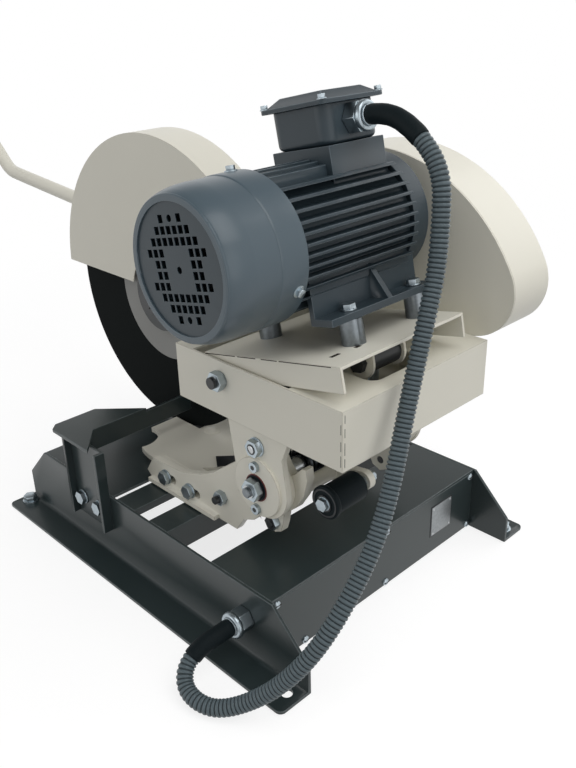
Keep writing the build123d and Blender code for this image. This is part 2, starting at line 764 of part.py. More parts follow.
def yoke():
    """The walls, the hook frame between them, the pivot shaft and their fasteners."""
    right = yoke_wall(WALL_BOTTOM)
    foot_x = (YOKE_MID + WALL_OUTER, YOKE_MID + WALL_OUTER + FOOT_REACH)
    right += block(foot_x, FOOT_SPAN, (WALL_BOTTOM, WALL_BOTTOM + FOOT_T))
    add("yoke_wall_right", right)
    add("yoke_wall_left", mirrored(yoke_wall(WALL_BOTTOM + WALL_LEFT_LIFT)))

    face = YOKE_MID + WALL_INNER
    hook_x = (face - HOOK_T, face)
    hook = plate_x(hook_outline(), hook_x) - drum("x", PIVOT_AT, PIVOT_R, hook_x)
    hook -= drum("x", (LUG_Y, LUG_Z), STUD_R, hook_x)
    tie_x = (2 * YOKE_MID - hook_x[0], hook_x[0])
    frame = hook + mirrored(hook) + drum("x", (TIE_Y, TIE_Z), TIE_R, tie_x)
    nut_t = NUT_HEIGHT * BUMPER_BOLT_R
    bracket_x = (BUMPER_SPAN[0] - nut_t - BRACKET_T, BUMPER_SPAN[0] - nut_t)
    tie_at = (TIE_Y, TIE_Z)
    bumper_at = (BUMPER_Y, BUMPER_Z)
    bracket = prism("x", (0, 0), belt_face(tie_at, BRACKET_R, bumper_at, BRACKET_R), bracket_x)
    frame += bracket - drum("x", bumper_at, BUMPER_BOLT_R, bracket_x)
    add("hook_frame", frame)
    bumper = ring("x", bumper_at, BUMPER_R, BUMPER_BOLT_R, BUMPER_SPAN)
    disc_x = (BUMPER_SPAN[1] - BUMPER_DISC_T, BUMPER_SPAN[1])
    add("bumper", bumper + ring("x", bumper_at, BUMPER_DISC_R, BUMPER_BOLT_R, disc_x))

    shaft_half = ARM_OUTER
    shaft_x = (YOKE_MID - shaft_half, YOKE_MID + shaft_half)
    end = shaft_half + BOSS_T + FACE_GAP + WASHER_T + PIVOT_NUT_T
    thread_x = (YOKE_MID - end - WASHER_T, YOKE_MID + end + WASHER_T)
    shaft = drum("x", PIVOT_AT, PIVOT_R, shaft_x) + drum("x", PIVOT_AT, PIVOT_THREAD_R, thread_x)
    add("pivot_shaft", shaft)

    outer = YOKE_MID + WALL_OUTER
    bolts = [hex_bolt("x", (y, YOKE_BOLT_Z), YOKE_BOLT_R, outer, face - UPSTAND_T)
             for y in YOKE_BOLT_Y]
    stud_at = (STUD_Y, STUD_Z)
    stud = drum("x", stud_at, STUD_R, (face, outer + STUD_OUT))
    bolts.append(stud + hexagon("x", stud_at, HEX_FLATS * STUD_R, (outer, outer + NUT_HEIGHT * STUD_R)))
    lug_at = (LUG_Y, LUG_Z)
    lug_bolt = drum("x", lug_at, STUD_R, (hook_x[0], outer - FACE_GAP))
    bolts.append(lug_bolt + hexagon("x", lug_at, HEX_FLATS * STUD_R, (face, face + NUT_HEIGHT * STUD_R)))
    nut_from = YOKE_MID + end - PIVOT_NUT_T
    pivot_nut = nut("x", PIVOT_AT, PIVOT_THREAD_R, PIVOT_NUT_FLATS, (nut_from, nut_from + PIVOT_NUT_T))
    washer = (nut_from - WASHER_T, nut_from)
    pivot_nut += ring("x", PIVOT_AT, PIVOT_NUT_FLATS / 2, PIVOT_THREAD_R, washer)
    bolts.append(pivot_nut)
    bolts += [mirrored(bolt) for bolt in bolts]
    tip = bracket_x[0] - nut_t - BUMPER_BOLT_R
    bumper_bolt = hex_bolt("x", bumper_at, BUMPER_BOLT_R, BUMPER_SPAN[1], tip)
    for left in (bracket_x[0] - nut_t, bracket_x[1]):
        bumper_bolt += hexagon("x", bumper_at, HEX_FLATS * BUMPER_BOLT_R, (left, left + nut_t))
    add("yoke_bolts", *bolts, bumper_bolt)


def biarc(start, start_way, end, end_way):
    """Two arcs that leave one point and reach another in the ways given."""
    gap = end - start
    ways = start_way + end_way
    share = 2 * (1 - start_way.dot(end_way))
    lean = gap.dot(ways)
    reach = (math.sqrt(lean * lean + share * gap.dot(gap)) - lean) / share
    first = start + start_way * reach
    second = end - end_way * reach
    middle = (first + second) * 0.5
    return [
        TangentArc(start, middle, tangent=start_way),
        TangentArc(middle, end, tangent=second - first),
    ]


def least_gap(wire, radius):
    """The least gap between the stretches of a round wire that lie apart along it."""
    count = round(wire.length / radius)
    points = [tuple(wire @ (index / count)) for index in range(count + 1)]
    apart = 6
    least = min(
        math.dist(points[first], points[second])
        for first in range(count + 1)
        for second in range(first + apart, count + 1)
    )
    return least - 2 * radius


def return_spring():
    """A torsion spring round the pivot shaft, one leg under the tie rod, one up to the bridge."""
    leg_z = TIE_Z - TIE_R - FACE_GAP - SPRING_WIRE_R
    radius = PIVOT_Z - leg_z
    quarters = 4 * SPRING_TURNS + 1
    step = SPRING_PITCH / 4
    points = []
    ways = []
    for index in range(quarters + 1):
        turn = math.radians(270 - 90 * index)
        x = SPRING_START_X + step * index
        points.append(Vector(x, PIVOT_Y + radius * math.cos(turn), PIVOT_Z + radius * math.sin(turn)))
        advance = 0 if index in (0, quarters) else step / (radius * math.pi / 2)
        ways.append(Vector(advance, math.sin(turn), -math.cos(turn)).normalized())
    path = [Line(points[0] - ways[0] * SPRING_REAR_LEG, points[0])]
    for index in range(quarters):
        path += biarc(points[index], ways[index], points[index + 1], ways[index + 1])
    top = BOX_BOTTOM - FACE_GAP
    path.append(Line(points[-1], Vector(points[-1].X, points[-1].Y, top)))
    wire = Wire(path)
    section = Plane(wire @ 0, z_dir=wire % 0) * Circle(SPRING_WIRE_R)
    spring = sweep(section, path=wire)
    add("return_spring", spring)
    print("return spring least gap", round(least_gap(wire, SPRING_WIRE_R), 2))
    print("return spring wire length", round(wire.length))
    return points[-1]


def swing_arms(spring_end):
    """The two arms and the bridge plate between them, with the peg that the spring pushes."""
    x = (YOKE_MID + ARM_INNER, YOKE_MID + ARM_OUTER)
    end_at = (PIVOT_Y + ARM_END_OFFSET[0], PIVOT_Z + ARM_END_OFFSET[1])
    outline = [
        (ARM_FRONT + ARM_FRONT_LEAN, ARM_TOP),
        (ARM_REAR, ARM_TOP),
        (ARM_REAR, BOX_BOTTOM),
        (ARM_REAR - ARM_NECK[0], BOX_BOTTOM - ARM_NECK[1]),
        polar(end_at, ARM_END_R, ARM_END_ANGLES[0]),
        end_at,
        polar(end_at, ARM_END_R, ARM_END_ANGLES[1]),
        (ARM_FRONT, BOX_BOTTOM),
    ]
    arm = plate_x(outline, x) + drum("x", end_at, ARM_END_R, x)
    boss_x = (x[1], x[1] + BOSS_T)
    arm += drum("x", PIVOT_AT, BOSS_R, boss_x)
    arm -= drum("x", PIVOT_AT, BEARING_OUTER_R, x)
    arm -= drum("x", PIVOT_AT, PIVOT_R + FACE_GAP, boss_x)
    bridge_z = (BOX_BOTTOM, BOX_BOTTOM + BRIDGE_T)
    bridge_x = (2 * YOKE_MID - x[0], x[0])
    bridge = block(bridge_x, BRIDGE_SPAN, bridge_z)
    peg_y = spring_end.Y + SPRING_WIRE_R + FACE_GAP
    peg_x = (spring_end.X - 2 * SPRING_WIRE_R, spring_end.X + 2 * SPRING_WIRE_R)
    bridge += block(peg_x, (peg_y, peg_y + SPRING_PEG_T), (BOX_BOTTOM - SPRING_PEG_DROP, BOX_BOTTOM))
    bridge -= drum("z", (TENSION_X, TRUNNION_AT.Y), TENSION_R, bridge_z)
    add("swing_arms", arm + mirrored(arm) + bridge)


def head_bearings():
    """The swing pivot's two bearings in the arms, and the spindle's two in its housing."""
    x = (YOKE_MID + ARM_INNER, YOKE_MID + ARM_OUTER)
    pivot = ring("x", PIVOT_AT, BEARING_OUTER_R, PIVOT_R + RUNNING_FIT, x)
    left = BOX_LEFT + BEARING_INSET
    right = GUARD_LEFT - BEARING_INSET
    spans = ((left, left + SPINDLE_BEARING_T), (right - SPINDLE_BEARING_T, right))
    bore = SPINDLE_R + RUNNING_FIT
    spindle_rings = [ring("x", SPINDLE_AT, SPINDLE_BEARING_R, bore, span) for span in spans]
    add("head_bearings", pivot, mirrored(pivot), *spindle_rings)


def head_box():
    """The tray over the arms: walls and a top with one opening for the motor plate."""
    x = (BOX_LEFT, BOX_RIGHT)
    y = BOX_SPAN
    z = (BOX_BOTTOM, BOX_TOP)
    inner_x = (BOX_LEFT + BOX_SHEET, BOX_RIGHT - BOX_SHEET)
    inner_y = (y[0] + BOX_SHEET, y[1] - BOX_SHEET)
    tray = block(x, y, z) - block(inner_x, inner_y, (z[0], z[1] - BOX_SHEET))
    top = (z[1] - BOX_SHEET, z[1])
    tray -= block((OPENING_LEFT, inner_x[1]), OPENING_FRONT, top)
    well = block(WELL_X, (OPENING_FRONT[1] - WELL_CORNER_R, WELL_REAR), top)
    corners = well.edges().filter_by(Axis.Z).group_by(Axis.Y)[-1]
    tray -= fillet(corners, WELL_CORNER_R)
    hinge_hole = (BOX_RIGHT - BOX_SHEET, BOX_RIGHT)
    tray -= drum("x", (HINGE_Y, HINGE_Z), HINGE_R, hinge_hole)
    add("head_box", tray)


def guard_bolt_cuts():
    """The holes for the guard's bolts, through its left wall and into the spindle housing."""
    span = (GUARD_LEFT - GUARD_BOLT_DEPTH, GUARD_LEFT + GUARD_SHEET)
    places = [polar(SPINDLE_AT, GUARD_BOLT_RING, angle) for angle in GUARD_BOLT_ANGLES]
    return [drum("x", at, GUARD_BOLT_R, span) for at in places]


def head_bolts():
    """The boss screws, arm nuts, hinge bolt and guard bolts of the head."""
    boss_face = YOKE_MID + ARM_OUTER + BOSS_T
    arm_face = YOKE_MID + ARM_OUTER
    solids = []
    for side in (-1, 1):
        at = (PIVOT_Y, PIVOT_Z + side * BOSS_SCREW_OFFSET)
        head = (boss_face, boss_face + HEAD_HEIGHT * BOSS_SCREW_R)
        solids.append(drum("x", at, SCREW_HEAD_SPREAD * BOSS_SCREW_R, head))
    nut_at = (PIVOT_Y, ARM_NUT_Z)
    nut_x = (arm_face + WASHER_T, arm_face + WASHER_T + HEAD_HEIGHT * ARM_NUT_R)
    arm_nut = drum("x", nut_at, WASHER_SPREAD * ARM_NUT_R, (arm_face, arm_face + WASHER_T))
    arm_nut += hexagon("x", nut_at, HEX_FLATS * ARM_NUT_R, nut_x)
    solids.append(arm_nut)
    solids += [mirrored(solid) for solid in solids]
    for angle in GUARD_BOLT_ANGLES:
        at = polar(SPINDLE_AT, GUARD_BOLT_RING, angle)
        inside = GUARD_LEFT + GUARD_SHEET
        solids.append(hex_bolt("x", at, GUARD_BOLT_R, inside, GUARD_LEFT - GUARD_BOLT_DEPTH))
    add("head_bolts", *solids)

    at = (HINGE_Y, HINGE_Z)
    left = BOX_LEFT + BOX_SHEET
    bolt = drum("x", at, HINGE_R, (left, BOX_RIGHT + HINGE_OUT))
    bolt += drum("x", at, HINGE_NUT_FLATS / 2, (BOX_RIGHT, BOX_RIGHT + WASHER_T))
    nut_x = (BOX_RIGHT + WASHER_T, BOX_RIGHT + WASHER_T + HINGE_NUT_T)
    bolt += hexagon("x", at, HINGE_NUT_FLATS, nut_x)
    bolt += hexagon("x", at, WELD_NUT_FLATS, (left, left + WELD_NUT_T))
    add("hinge_bolt", bolt)
    tension_at = (TENSION_X, TRUNNION_AT.Y)
    nut_z = BOX_BOTTOM + BRIDGE_T
    rod = drum("z", tension_at, TENSION_R, (BOX_BOTTOM, TRUNNION_AT.Z + TENSION_R))
    rod += hexagon("z", tension_at, TENSION_NUT_FLATS, (nut_z, nut_z + TENSION_NUT_T))
    add("tension_bolt", rod)


def spindle():
    """The spindle arm with its housing, and what turns in it."""
    housing_x = (BOX_LEFT, GUARD_LEFT)
    arm = drum("x", SPINDLE_AT, HOUSING_R, housing_x)
    half = BEAM_HEIGHT / 2
    arm += block((BOX_LEFT, BEAM_RIGHT), (DISC_Y, BOX_SPAN[0]), (DISC_Z - half, DISC_Z + half))
    arm -= drum("x", SPINDLE_AT, SPINDLE_BEARING_R, housing_x)
    add("spindle_arm", arm - guard_bolt_cuts())

    clamp_left = -DISC_FACE - CLAMP_INNER_T
    clamp_right = DISC_FACE + CLAMP_OUTER_T
    shaft = drum("x", SPINDLE_AT, SPINDLE_R, (pulley_span()[0], clamp_left))
    shaft += drum("x", SPINDLE_AT, DISC_BORE_R, (clamp_left, DISC_FACE))
    shaft += drum("x", SPINDLE_AT, SPINDLE_END_R, (DISC_FACE, SPINDLE_END))
    add("spindle_shaft", shaft)
    flange_in = ring("x", SPINDLE_AT, CLAMP_R, DISC_BORE_R, (clamp_left, -DISC_FACE))
    flange_out = ring("x", SPINDLE_AT, CLAMP_R, SPINDLE_END_R, (DISC_FACE, clamp_right))
    add("clamp_flanges", flange_in, flange_out)
    add("abrasive_disc", ring("x", SPINDLE_AT, DISC_R, DISC_BORE_R, (-DISC_FACE, DISC_FACE)))
    nut_x = (clamp_right, clamp_right + SPINDLE_NUT_T)
    add("spindle_nut", nut("x", SPINDLE_AT, SPINDLE_END_R, SPINDLE_NUT_FLATS, nut_x))


def disc_guard():
    """The half-round guard over the disc, open below and cut square in front of the head box."""
    inside = (GUARD_LEFT + GUARD_SHEET, GUARD_RIGHT - GUARD_SHEET)
    outside = (GUARD_LEFT, GUARD_RIGHT)
    guard = drum("x", SPINDLE_AT, GUARD_R, outside)
    guard -= drum("x", SPINDLE_AT, GUARD_R - GUARD_SHEET, inside)
    reach = (DISC_Y - GUARD_R, DISC_Y + GUARD_R)
    guard -= block(outside, reach, (DISC_Z - GUARD_R, GUARD_BOTTOM))
    guard -= block(outside, (GUARD_REAR, reach[1]), (GUARD_BOTTOM, DISC_Z + GUARD_R))
    guard -= drum("x", SPINDLE_AT, GUARD_NOTCH_R, (inside[1], outside[1]))
    guard -= drum("x", SPINDLE_AT, SPINDLE_BEARING_R, (outside[0], inside[0]))
    add("disc_guard", guard - guard_bolt_cuts())


def handle():
    """The bent rod on the guard's rim and the grip on its end."""
    points = [(HANDLE_X, y, z) for y, z in (HANDLE_START, HANDLE_BEND, HANDLE_END)]
    path = FilletPolyline(*points, radius=HANDLE_BEND_R)
    rod = sweep(Plane(path @ 0, z_dir=path % 0) * Circle(HANDLE_R), path=path)
    add("handle_rod", rod - drum("x", SPINDLE_AT, GUARD_R, (GUARD_LEFT, GUARD_RIGHT)))
    way = path % 1
    start = (path @ 1) - way * GRIP_LENGTH
    grip = extrude(Plane(start, z_dir=way) * (Circle(GRIP_R) - Circle(HANDLE_R)), GRIP_LENGTH)
    grip += extrude(Plane(path @ 1, z_dir=way) * Circle(GRIP_R), GRIP_CAP)
    add("handle_grip", grip)


def pulley_span():
    """Both pulleys' width along X."""
    return (BELT_PLANES[1] - PULLEY_MARGIN, BELT_PLANES[0] + PULLEY_MARGIN)


def pulley(at, radius, bore):
    """A pulley with one groove for each belt."""
    wheel = ring("x", at, radius + PULLEY_RIM, bore, pulley_span())
    half = BELT_WIDTH / 2 + GROOVE_PLAY
    for plane in BELT_PLANES:
        groove_x = (plane - half, plane + half)
        wheel -= ring("x", at, radius + 2 * PULLEY_RIM, radius - BELT_IN - GROOVE_PLAY, groove_x)
    return wheel


def guard_face(shrink):
    """The belt guard's outline, drawn in by a wall's thickness where asked."""
    front_r = BELT_GUARD_FRONT_R - shrink
    top_r = BELT_GUARD_TOP_R - shrink
    rear_r = BELT_GUARD_REAR_R - shrink
    rear_at = polar(BELT_GUARD_TOP, BELT_GUARD_TOP_R - BELT_GUARD_REAR_R, BELT_GUARD_REAR_ANGLE)
    upper = tangent_normal(SPINDLE_AT, front_r, BELT_GUARD_TOP, top_r, 1)
    lower = tangent_normal(SPINDLE_AT, front_r, rear_at, rear_r, -1)
    edges = [
        Line(polar(SPINDLE_AT, front_r, lower), polar(rear_at, rear_r, lower)),
        CenterArc(rear_at, rear_r, lower, BELT_GUARD_REAR_ANGLE - lower),
        CenterArc(BELT_GUARD_TOP, top_r, BELT_GUARD_REAR_ANGLE, upper - BELT_GUARD_REAR_ANGLE),
        Line(polar(BELT_GUARD_TOP, top_r, upper), polar(SPINDLE_AT, front_r, upper)),
        CenterArc(SPINDLE_AT, front_r, upper, 360 + lower - upper),
    ]
    return make_face(edges)


def belt_drive():
    """The pulleys, the two belts, and the guard's back plate and cover."""
    add("motor_pulley", pulley(MOTOR_AT, MOTOR_PULLEY_R, MOTOR_SHAFT_R))
    add("spindle_pulley", pulley(SPINDLE_AT, SPINDLE_PULLEY_R, SPINDLE_R))
    outer = belt_face(SPINDLE_AT, SPINDLE_PULLEY_R + BELT_OUT, MOTOR_AT, MOTOR_PULLEY_R + BELT_OUT)
    inner = belt_face(SPINDLE_AT, SPINDLE_PULLEY_R - BELT_IN, MOTOR_AT, MOTOR_PULLEY_R - BELT_IN)
    half = BELT_WIDTH / 2
    belts = [prism("x", (0, 0), outer - inner, (x - half, x + half)) for x in BELT_PLANES]
    add("drive_belts", *belts)

    back_x = (GUARD_BACK_LEFT, BOX_LEFT)
    back = prism("x", (0, 0), guard_face(0), back_x)
    back -= drum("x", SPINDLE_AT, SPINDLE_BEARING_R, back_x)
    add("belt_guard_back", back - drum("x", MOTOR_AT, BELT_GUARD_SHAFT_R, back_x))
    cover_left = GUARD_BACK_LEFT - BELT_GUARD_DEPTH
    cover = prism("x", (0, 0), guard_face(0), (cover_left, GUARD_BACK_LEFT))
    hollow_x = (cover_left + BELT_GUARD_SHEET, GUARD_BACK_LEFT)
    add("belt_guard_cover", cover - prism("x", (0, 0), guard_face(BELT_GUARD_SHEET), hollow_x))


def motor_plate():
    """The tilted inverted channel that the motor stands on, its ears and the trunnion barrel."""
    left, right = PLATE_X
    plate = block(PLATE_X, PLATE_V, (PLATE_UNDER_W, PLATE_TOP_W))
    hinge_at = (HINGE_V, HINGE_W)
    for x in ((left, left + PLATE_T), (right - PLATE_T, right)):
        plate += block(x, PLATE_V, (PLATE_TOP_W - PLATE_FLANGE, PLATE_UNDER_W))
        plate += drum("x", hinge_at, HINGE_EAR_R, x)
        plate -= drum("x", hinge_at, HINGE_R + RUNNING_FIT, x)
    trunnion_at = (TRUNNION_V, TRUNNION_W)
    ear_v = (TRUNNION_V - EAR_R, TRUNNION_V + EAR_R)
    ears = ((TRUNNION_X[0] - EAR_T, TRUNNION_X[0]), (TRUNNION_X[1], TRUNNION_X[1] + EAR_T))
    for x in ears:
        plate += block(x, ear_v, (TRUNNION_W, PLATE_UNDER_W))
        plate += drum("x", trunnion_at, EAR_R, x)
        plate -= drum("x", trunnion_at, TRUNNION_PIN_R, x)
    for at in foot_bolt_places():
        plate -= drum("z", at, FOOT_BOLT_R, (PLATE_UNDER_W, PLATE_TOP_W))
    add("motor_plate", MOTOR * plate)

    nut_x = (ears[1][1], ears[1][1] + TRUNNION_NUT_T)
    barrel = drum("x", trunnion_at, TRUNNION_R, TRUNNION_X)
    barrel += drum("x", trunnion_at, TRUNNION_PIN_R, (ears[0][0], nut_x[1]))
    barrel += hexagon("x", trunnion_at, TRUNNION_NUT_FLATS, nut_x)
    tension_z = (TRUNNION_AT.Z - 2 * TRUNNION_R, TRUNNION_AT.Z + 2 * TRUNNION_R)
    hole = drum("z", (TENSION_X, TRUNNION_AT.Y), TENSION_R + TENSION_PLAY, tension_z)
    add("tension_barrel", MOTOR * barrel - hole)


def foot_bolt_places():
    """The motor's four foot bolts, in the motor's own (X, V)."""
    xs = (FOOT_MID_X - FOOT_HOLES_X / 2, FOOT_MID_X + FOOT_HOLES_X / 2)
    return [(x, v) for x in xs for v in (-FOOT_HOLES_V / 2, FOOT_HOLES_V / 2)]


def motor_feet():
    """The spacers under the motor's feet and the bolts through them."""
    under_foot = -SHAFT_HEIGHT
    spacer_w = (PLATE_TOP_W, under_foot)
    spacers = [ring("z", at, SPACER_R, FOOT_BOLT_R, spacer_w) for at in foot_bolt_places()]
    add("motor_spacers", *[MOTOR * spacer for spacer in spacers])
    nut_t = NUT_HEIGHT * FOOT_BOLT_R
    bolts = []
    for at in foot_bolt_places():
        tip = PLATE_UNDER_W - nut_t - FOOT_BOLT_R
        bolt = hex_bolt("z", at, FOOT_BOLT_R, under_foot + MOTOR_FOOT_T, tip)
        bolt += hexagon("z", at, HEX_FLATS * FOOT_BOLT_R, (PLATE_UNDER_W - nut_t, PLATE_UNDER_W))
        bolts.append(MOTOR * bolt)
    add("foot_bolts", *bolts)


def finned_section():
    """The motor body's section: a round core with upright and level fins."""
    section = Circle(BODY_CORE_R)
    for index in range(LEVEL_FINS):
        offset = (index - (LEVEL_FINS - 1) / 2) * FIN_PITCH
        section += Pos(0, offset) * Rectangle(2 * BODY_FIN_R, FIN_T)
    for index in range(UPRIGHT_FINS):
        offset = (index - (UPRIGHT_FINS - 1) / 2) * FIN_PITCH
        section += Pos(offset, 0) * Rectangle(FIN_T, 2 * BODY_FIN_R)
    return section & Circle(BODY_FIN_R)


def motor_body():
    """The finned stator housing with its feet and terminal pad, and the drive-end shield."""
    axis = (0, 0)
    body = prism("x", axis, finned_section(), BODY_X)
    flange_x = (BODY_X[1] - REAR_FLANGE_T, BODY_X[1])
    body += drum("x", axis, COVER_R - COVER_SHEET, flange_x)
    pad_v = (-PAD_HALF, PAD_HALF)
    body += block((TERMINAL_X - PAD_HALF, TERMINAL_X + PAD_HALF), pad_v, (0, TERMINAL_BASE_W))
    foot_w = (-SHAFT_HEIGHT, -SHAFT_HEIGHT + MOTOR_FOOT_T)
    inner = FOOT_HOLES_V / 2 - MOTOR_FOOT_WIDTH / 2
    for side in (-1, 1):
        foot_v = ordered(side * inner, side * (inner + MOTOR_FOOT_WIDTH))
        web_v = ordered(side * (inner - FOOT_WEB_T), side * inner)
        body += block(MOTOR_FOOT_X, foot_v, foot_w)
        body += block(MOTOR_FOOT_X, web_v, (foot_w[0], FOOT_WEB_TOP))
        corner = side * inner
        toe = side * (inner + MOTOR_FOOT_WIDTH)
        gusset = [(corner, foot_w[1]), (toe, foot_w[1]), (corner, FOOT_GUSSET_TOP)]
        body += plate_x(gusset, (FOOT_MID_X - FOOT_GUSSET_T / 2, FOOT_MID_X + FOOT_GUSSET_T / 2))
    for at in foot_bolt_places():
        body -= drum("z", at, FOOT_BOLT_R, foot_w)
    bore_x = (BODY_X[0], BODY_X[1] - BACK_WALL)
    body -= drum("x", axis, STATOR_R, bore_x)
    body -= drum("x", axis, MOTOR_SHAFT_R + RUNNING_FIT, BODY_X)
    shield = drum("x", axis, SHIELD_R, (SHIELD_LEFT, BODY_X[0]))
    boss_left = SHIELD_LEFT - SHIELD_BOSS_T
    shield += drum("x", axis, SHIELD_BOSS_R, (boss_left, SHIELD_LEFT))
    foot_reach = (MOTOR_FOOT_X[0], BODY_X[0])
    for side in (-1, 1):
        web_v = ordered(side * (inner - FOOT_WEB_T), side * inner)
        shield -= block(foot_reach, web_v, (-SHIELD_R, FOOT_WEB_TOP))
    shield -= drum("x", axis, MOTOR_SHAFT_R + RUNNING_FIT, (boss_left, BODY_X[0]))
    add("motor_body", MOTOR * body)
    add("drive_shield", MOTOR * shield)

    shaft = drum("x", axis, MOTOR_SHAFT_R, (pulley_span()[0], FAN_SPAN[1]))
    core_x = (BODY_X[0] + BACK_WALL, BODY_X[1] - 2 * BACK_WALL)
    add("rotor_shaft", MOTOR * (shaft + drum("x", axis, STATOR_R - ROTOR_GAP, core_x)))


def grille_cuts():
    """The fan cover's vent holes: ten rows of square holes, round ones in the rows' gaps."""
    holes = []
    for index, columns in enumerate(GRILLE_ROWS):
        for side_w in (-1, 1):
            w = side_w * (len(GRILLE_ROWS) - 0.5 - index) * GRILLE_PITCH_W
            for column in columns:
                for side_v in (-1, 1):
                    v = side_v * (column + 0.5) * GRILLE_PITCH_V
                    holes.append(Pos(v, w) * Rectangle(GRILLE_HOLE_V, GRILLE_HOLE_W))
            if index == 0:
                holes.append(Pos(0, w) * Circle(GRILLE_ROUND_R))
    holes.append(Circle(GRILLE_ROUND_R))
    return [prism("x", (0, 0), hole, (COVER_GRILLE_X - COVER_SHEET, COVER_GRILLE_X)) for hole in holes]


def fan_cover():
    """The drawn cover with its grille, and the fan inside it."""
    axis = (0, 0)
    back = BODY_X[1] - REAR_FLANGE_T
    inner_r = COVER_R - COVER_SHEET
    round_x = COVER_FACE_X - COVER_SHOULDER_R
    round_r = COVER_R - COVER_SHOULDER_R
    rim_r = round_r - COVER_RIM
    face_inner = COVER_FACE_X - COVER_SHEET
    grille_inner = COVER_GRILLE_X - COVER_SHEET
    profile = [
        Polyline((round_x, inner_r), (back, inner_r), (back, COVER_R), (round_x, COVER_R)),
        CenterArc((round_x, round_r), COVER_SHOULDER_R, 0, 90),
        Polyline((COVER_FACE_X, round_r), (COVER_FACE_X, rim_r), (COVER_GRILLE_X, rim_r)),
        Polyline((COVER_GRILLE_X, rim_r), (COVER_GRILLE_X, 0), (grille_inner, 0)),
        Polyline((grille_inner, 0), (grille_inner, rim_r + COVER_SHEET), (face_inner, rim_r + COVER_SHEET)),
        Line((face_inner, rim_r + COVER_SHEET), (face_inner, round_r)),
        CenterArc((round_x, round_r), COVER_SHOULDER_R - COVER_SHEET, 0, 90),
    ]
    cover = revolve(make_face(profile), Axis.X)
    add("fan_cover", MOTOR * (cover - grille_cuts()))

    fan = drum("x", axis, FAN_HUB_R, FAN_SPAN)
    fan += drum("x", axis, FAN_R, (FAN_SPAN[0], FAN_SPAN[0] + FAN_DISC_T))
    blade = block(FAN_SPAN, (FAN_HUB_R / 2, FAN_R), (-FAN_BLADE_T / 2, FAN_BLADE_T / 2))
    for index in range(FAN_BLADES):
        fan += Rot(360 / FAN_BLADES * index, 0, 0) * blade
    add("cooling_fan", MOTOR * (fan - drum("x", axis, MOTOR_SHAFT_R, FAN_SPAN)))


def terminal_box():
    """The terminal box, its domed lid and the conduit gland on its rear face."""
    x = (TERMINAL_X - TERMINAL_HALF, TERMINAL_X + TERMINAL_HALF)
    v = (-TERMINAL_HALF, TERMINAL_HALF)
    wall = TERMINAL_WALL
    walls = block(x, v, (TERMINAL_BASE_W, TERMINAL_TOP_W))
    walls = fillet(walls.edges().filter_by(Axis.Z), TERMINAL_CORNER_R)
    inner_x = (x[0] + wall, x[1] - wall)
    inner_v = (v[0] + wall, v[1] - wall)
    hollow = block(inner_x, inner_v, (TERMINAL_BASE_W + wall, TERMINAL_TOP_W))
    walls -= fillet(hollow.edges().filter_by(Axis.Z), TERMINAL_CORNER_R - wall)
    gland_at = (TERMINAL_X, MOTOR_GLAND_W)
    walls -= drum("y", gland_at, GLAND_R, (inner_v[1], v[1]))
    add("terminal_box", MOTOR * walls)

    lid_x = (TERMINAL_X - LID_HALF, TERMINAL_X + LID_HALF)
    lid_top = TERMINAL_TOP_W + LID_T
    lid = block(lid_x, (-LID_HALF, LID_HALF), (TERMINAL_TOP_W, lid_top))
    lid = fillet(lid.edges().filter_by(Axis.Z), LID_CORNER_R)
    foot = Pos(TERMINAL_X, 0, lid_top) * Rectangle(2 * LID_HIP_FOOT, 2 * LID_HIP_FOOT)
    top = Pos(TERMINAL_X, 0, lid_top + LID_HIP_T) * Rectangle(2 * LID_HIP_TOP, 2 * LID_HIP_TOP)
    add("terminal_lid", MOTOR * (lid + loft([foot, top], ruled=True)))

    end = v[1] + GLAND_LENGTH
    gland = hexagon("y", gland_at, MOTOR_GLAND_FLATS, (v[1], v[1] + GLAND_HEX_T))
    gland += drum("y", gland_at, GLAND_R, (inner_v[1], end))
    gland -= drum("y", gland_at, CONDUIT_BORE_R, (inner_v[1], end))
    add("motor_gland", MOTOR * gland)
    return MOTOR_ORIGIN + Vector(TERMINAL_X, 0, 0) + MOTOR_U * end + MOTOR_N * MOTOR_GLAND_W


def conduit_path(start, tail, tail_end):
    """The conduit's centre line, from the motor's gland to the base's gland."""
    corner = start + MOTOR_U * CONDUIT_EXIT_RUN
    points = [start, corner, *[Vector(*point) for point in CONDUIT_POINTS], *tail, tail_end]
    radii = []
    for before, here, after in zip(points, points[1:], points[2:]):
        shorter = min((here - before).length, (after - here).length)
        turn = math.radians((here - before).get_angle(after - here))
        radii.append(CONDUIT_BEND_SHARE * shorter / math.tan(turn / 2))
    return FilletPolyline(*points, radius=radii)


def hose(path, start, end, radii, pitch):
    """A hollow ruled loft along a stretch of a path, through one circle for each radius a pitch."""
    count = max(1, round((end - start) / pitch))
    length = path.length
    x_way = Vector(1, 0, 0)
    outer = []
    inner = []
    for index in range(count * len(radii) + 1):
        place = (start + (end - start) * index / (count * len(radii))) / length
        way = path % place
        x_way = (x_way - way * x_way.dot(way)).normalized()
        plane = Plane(path @ place, x_dir=x_way, z_dir=way)
        outer.append(plane * Circle(radii[index % len(radii)]))
        if index % len(radii) == 0:
            inner.append(plane * Circle(CONDUIT_BORE_R))
    return loft(outer, ruled=True) - loft(inner, ruled=True)


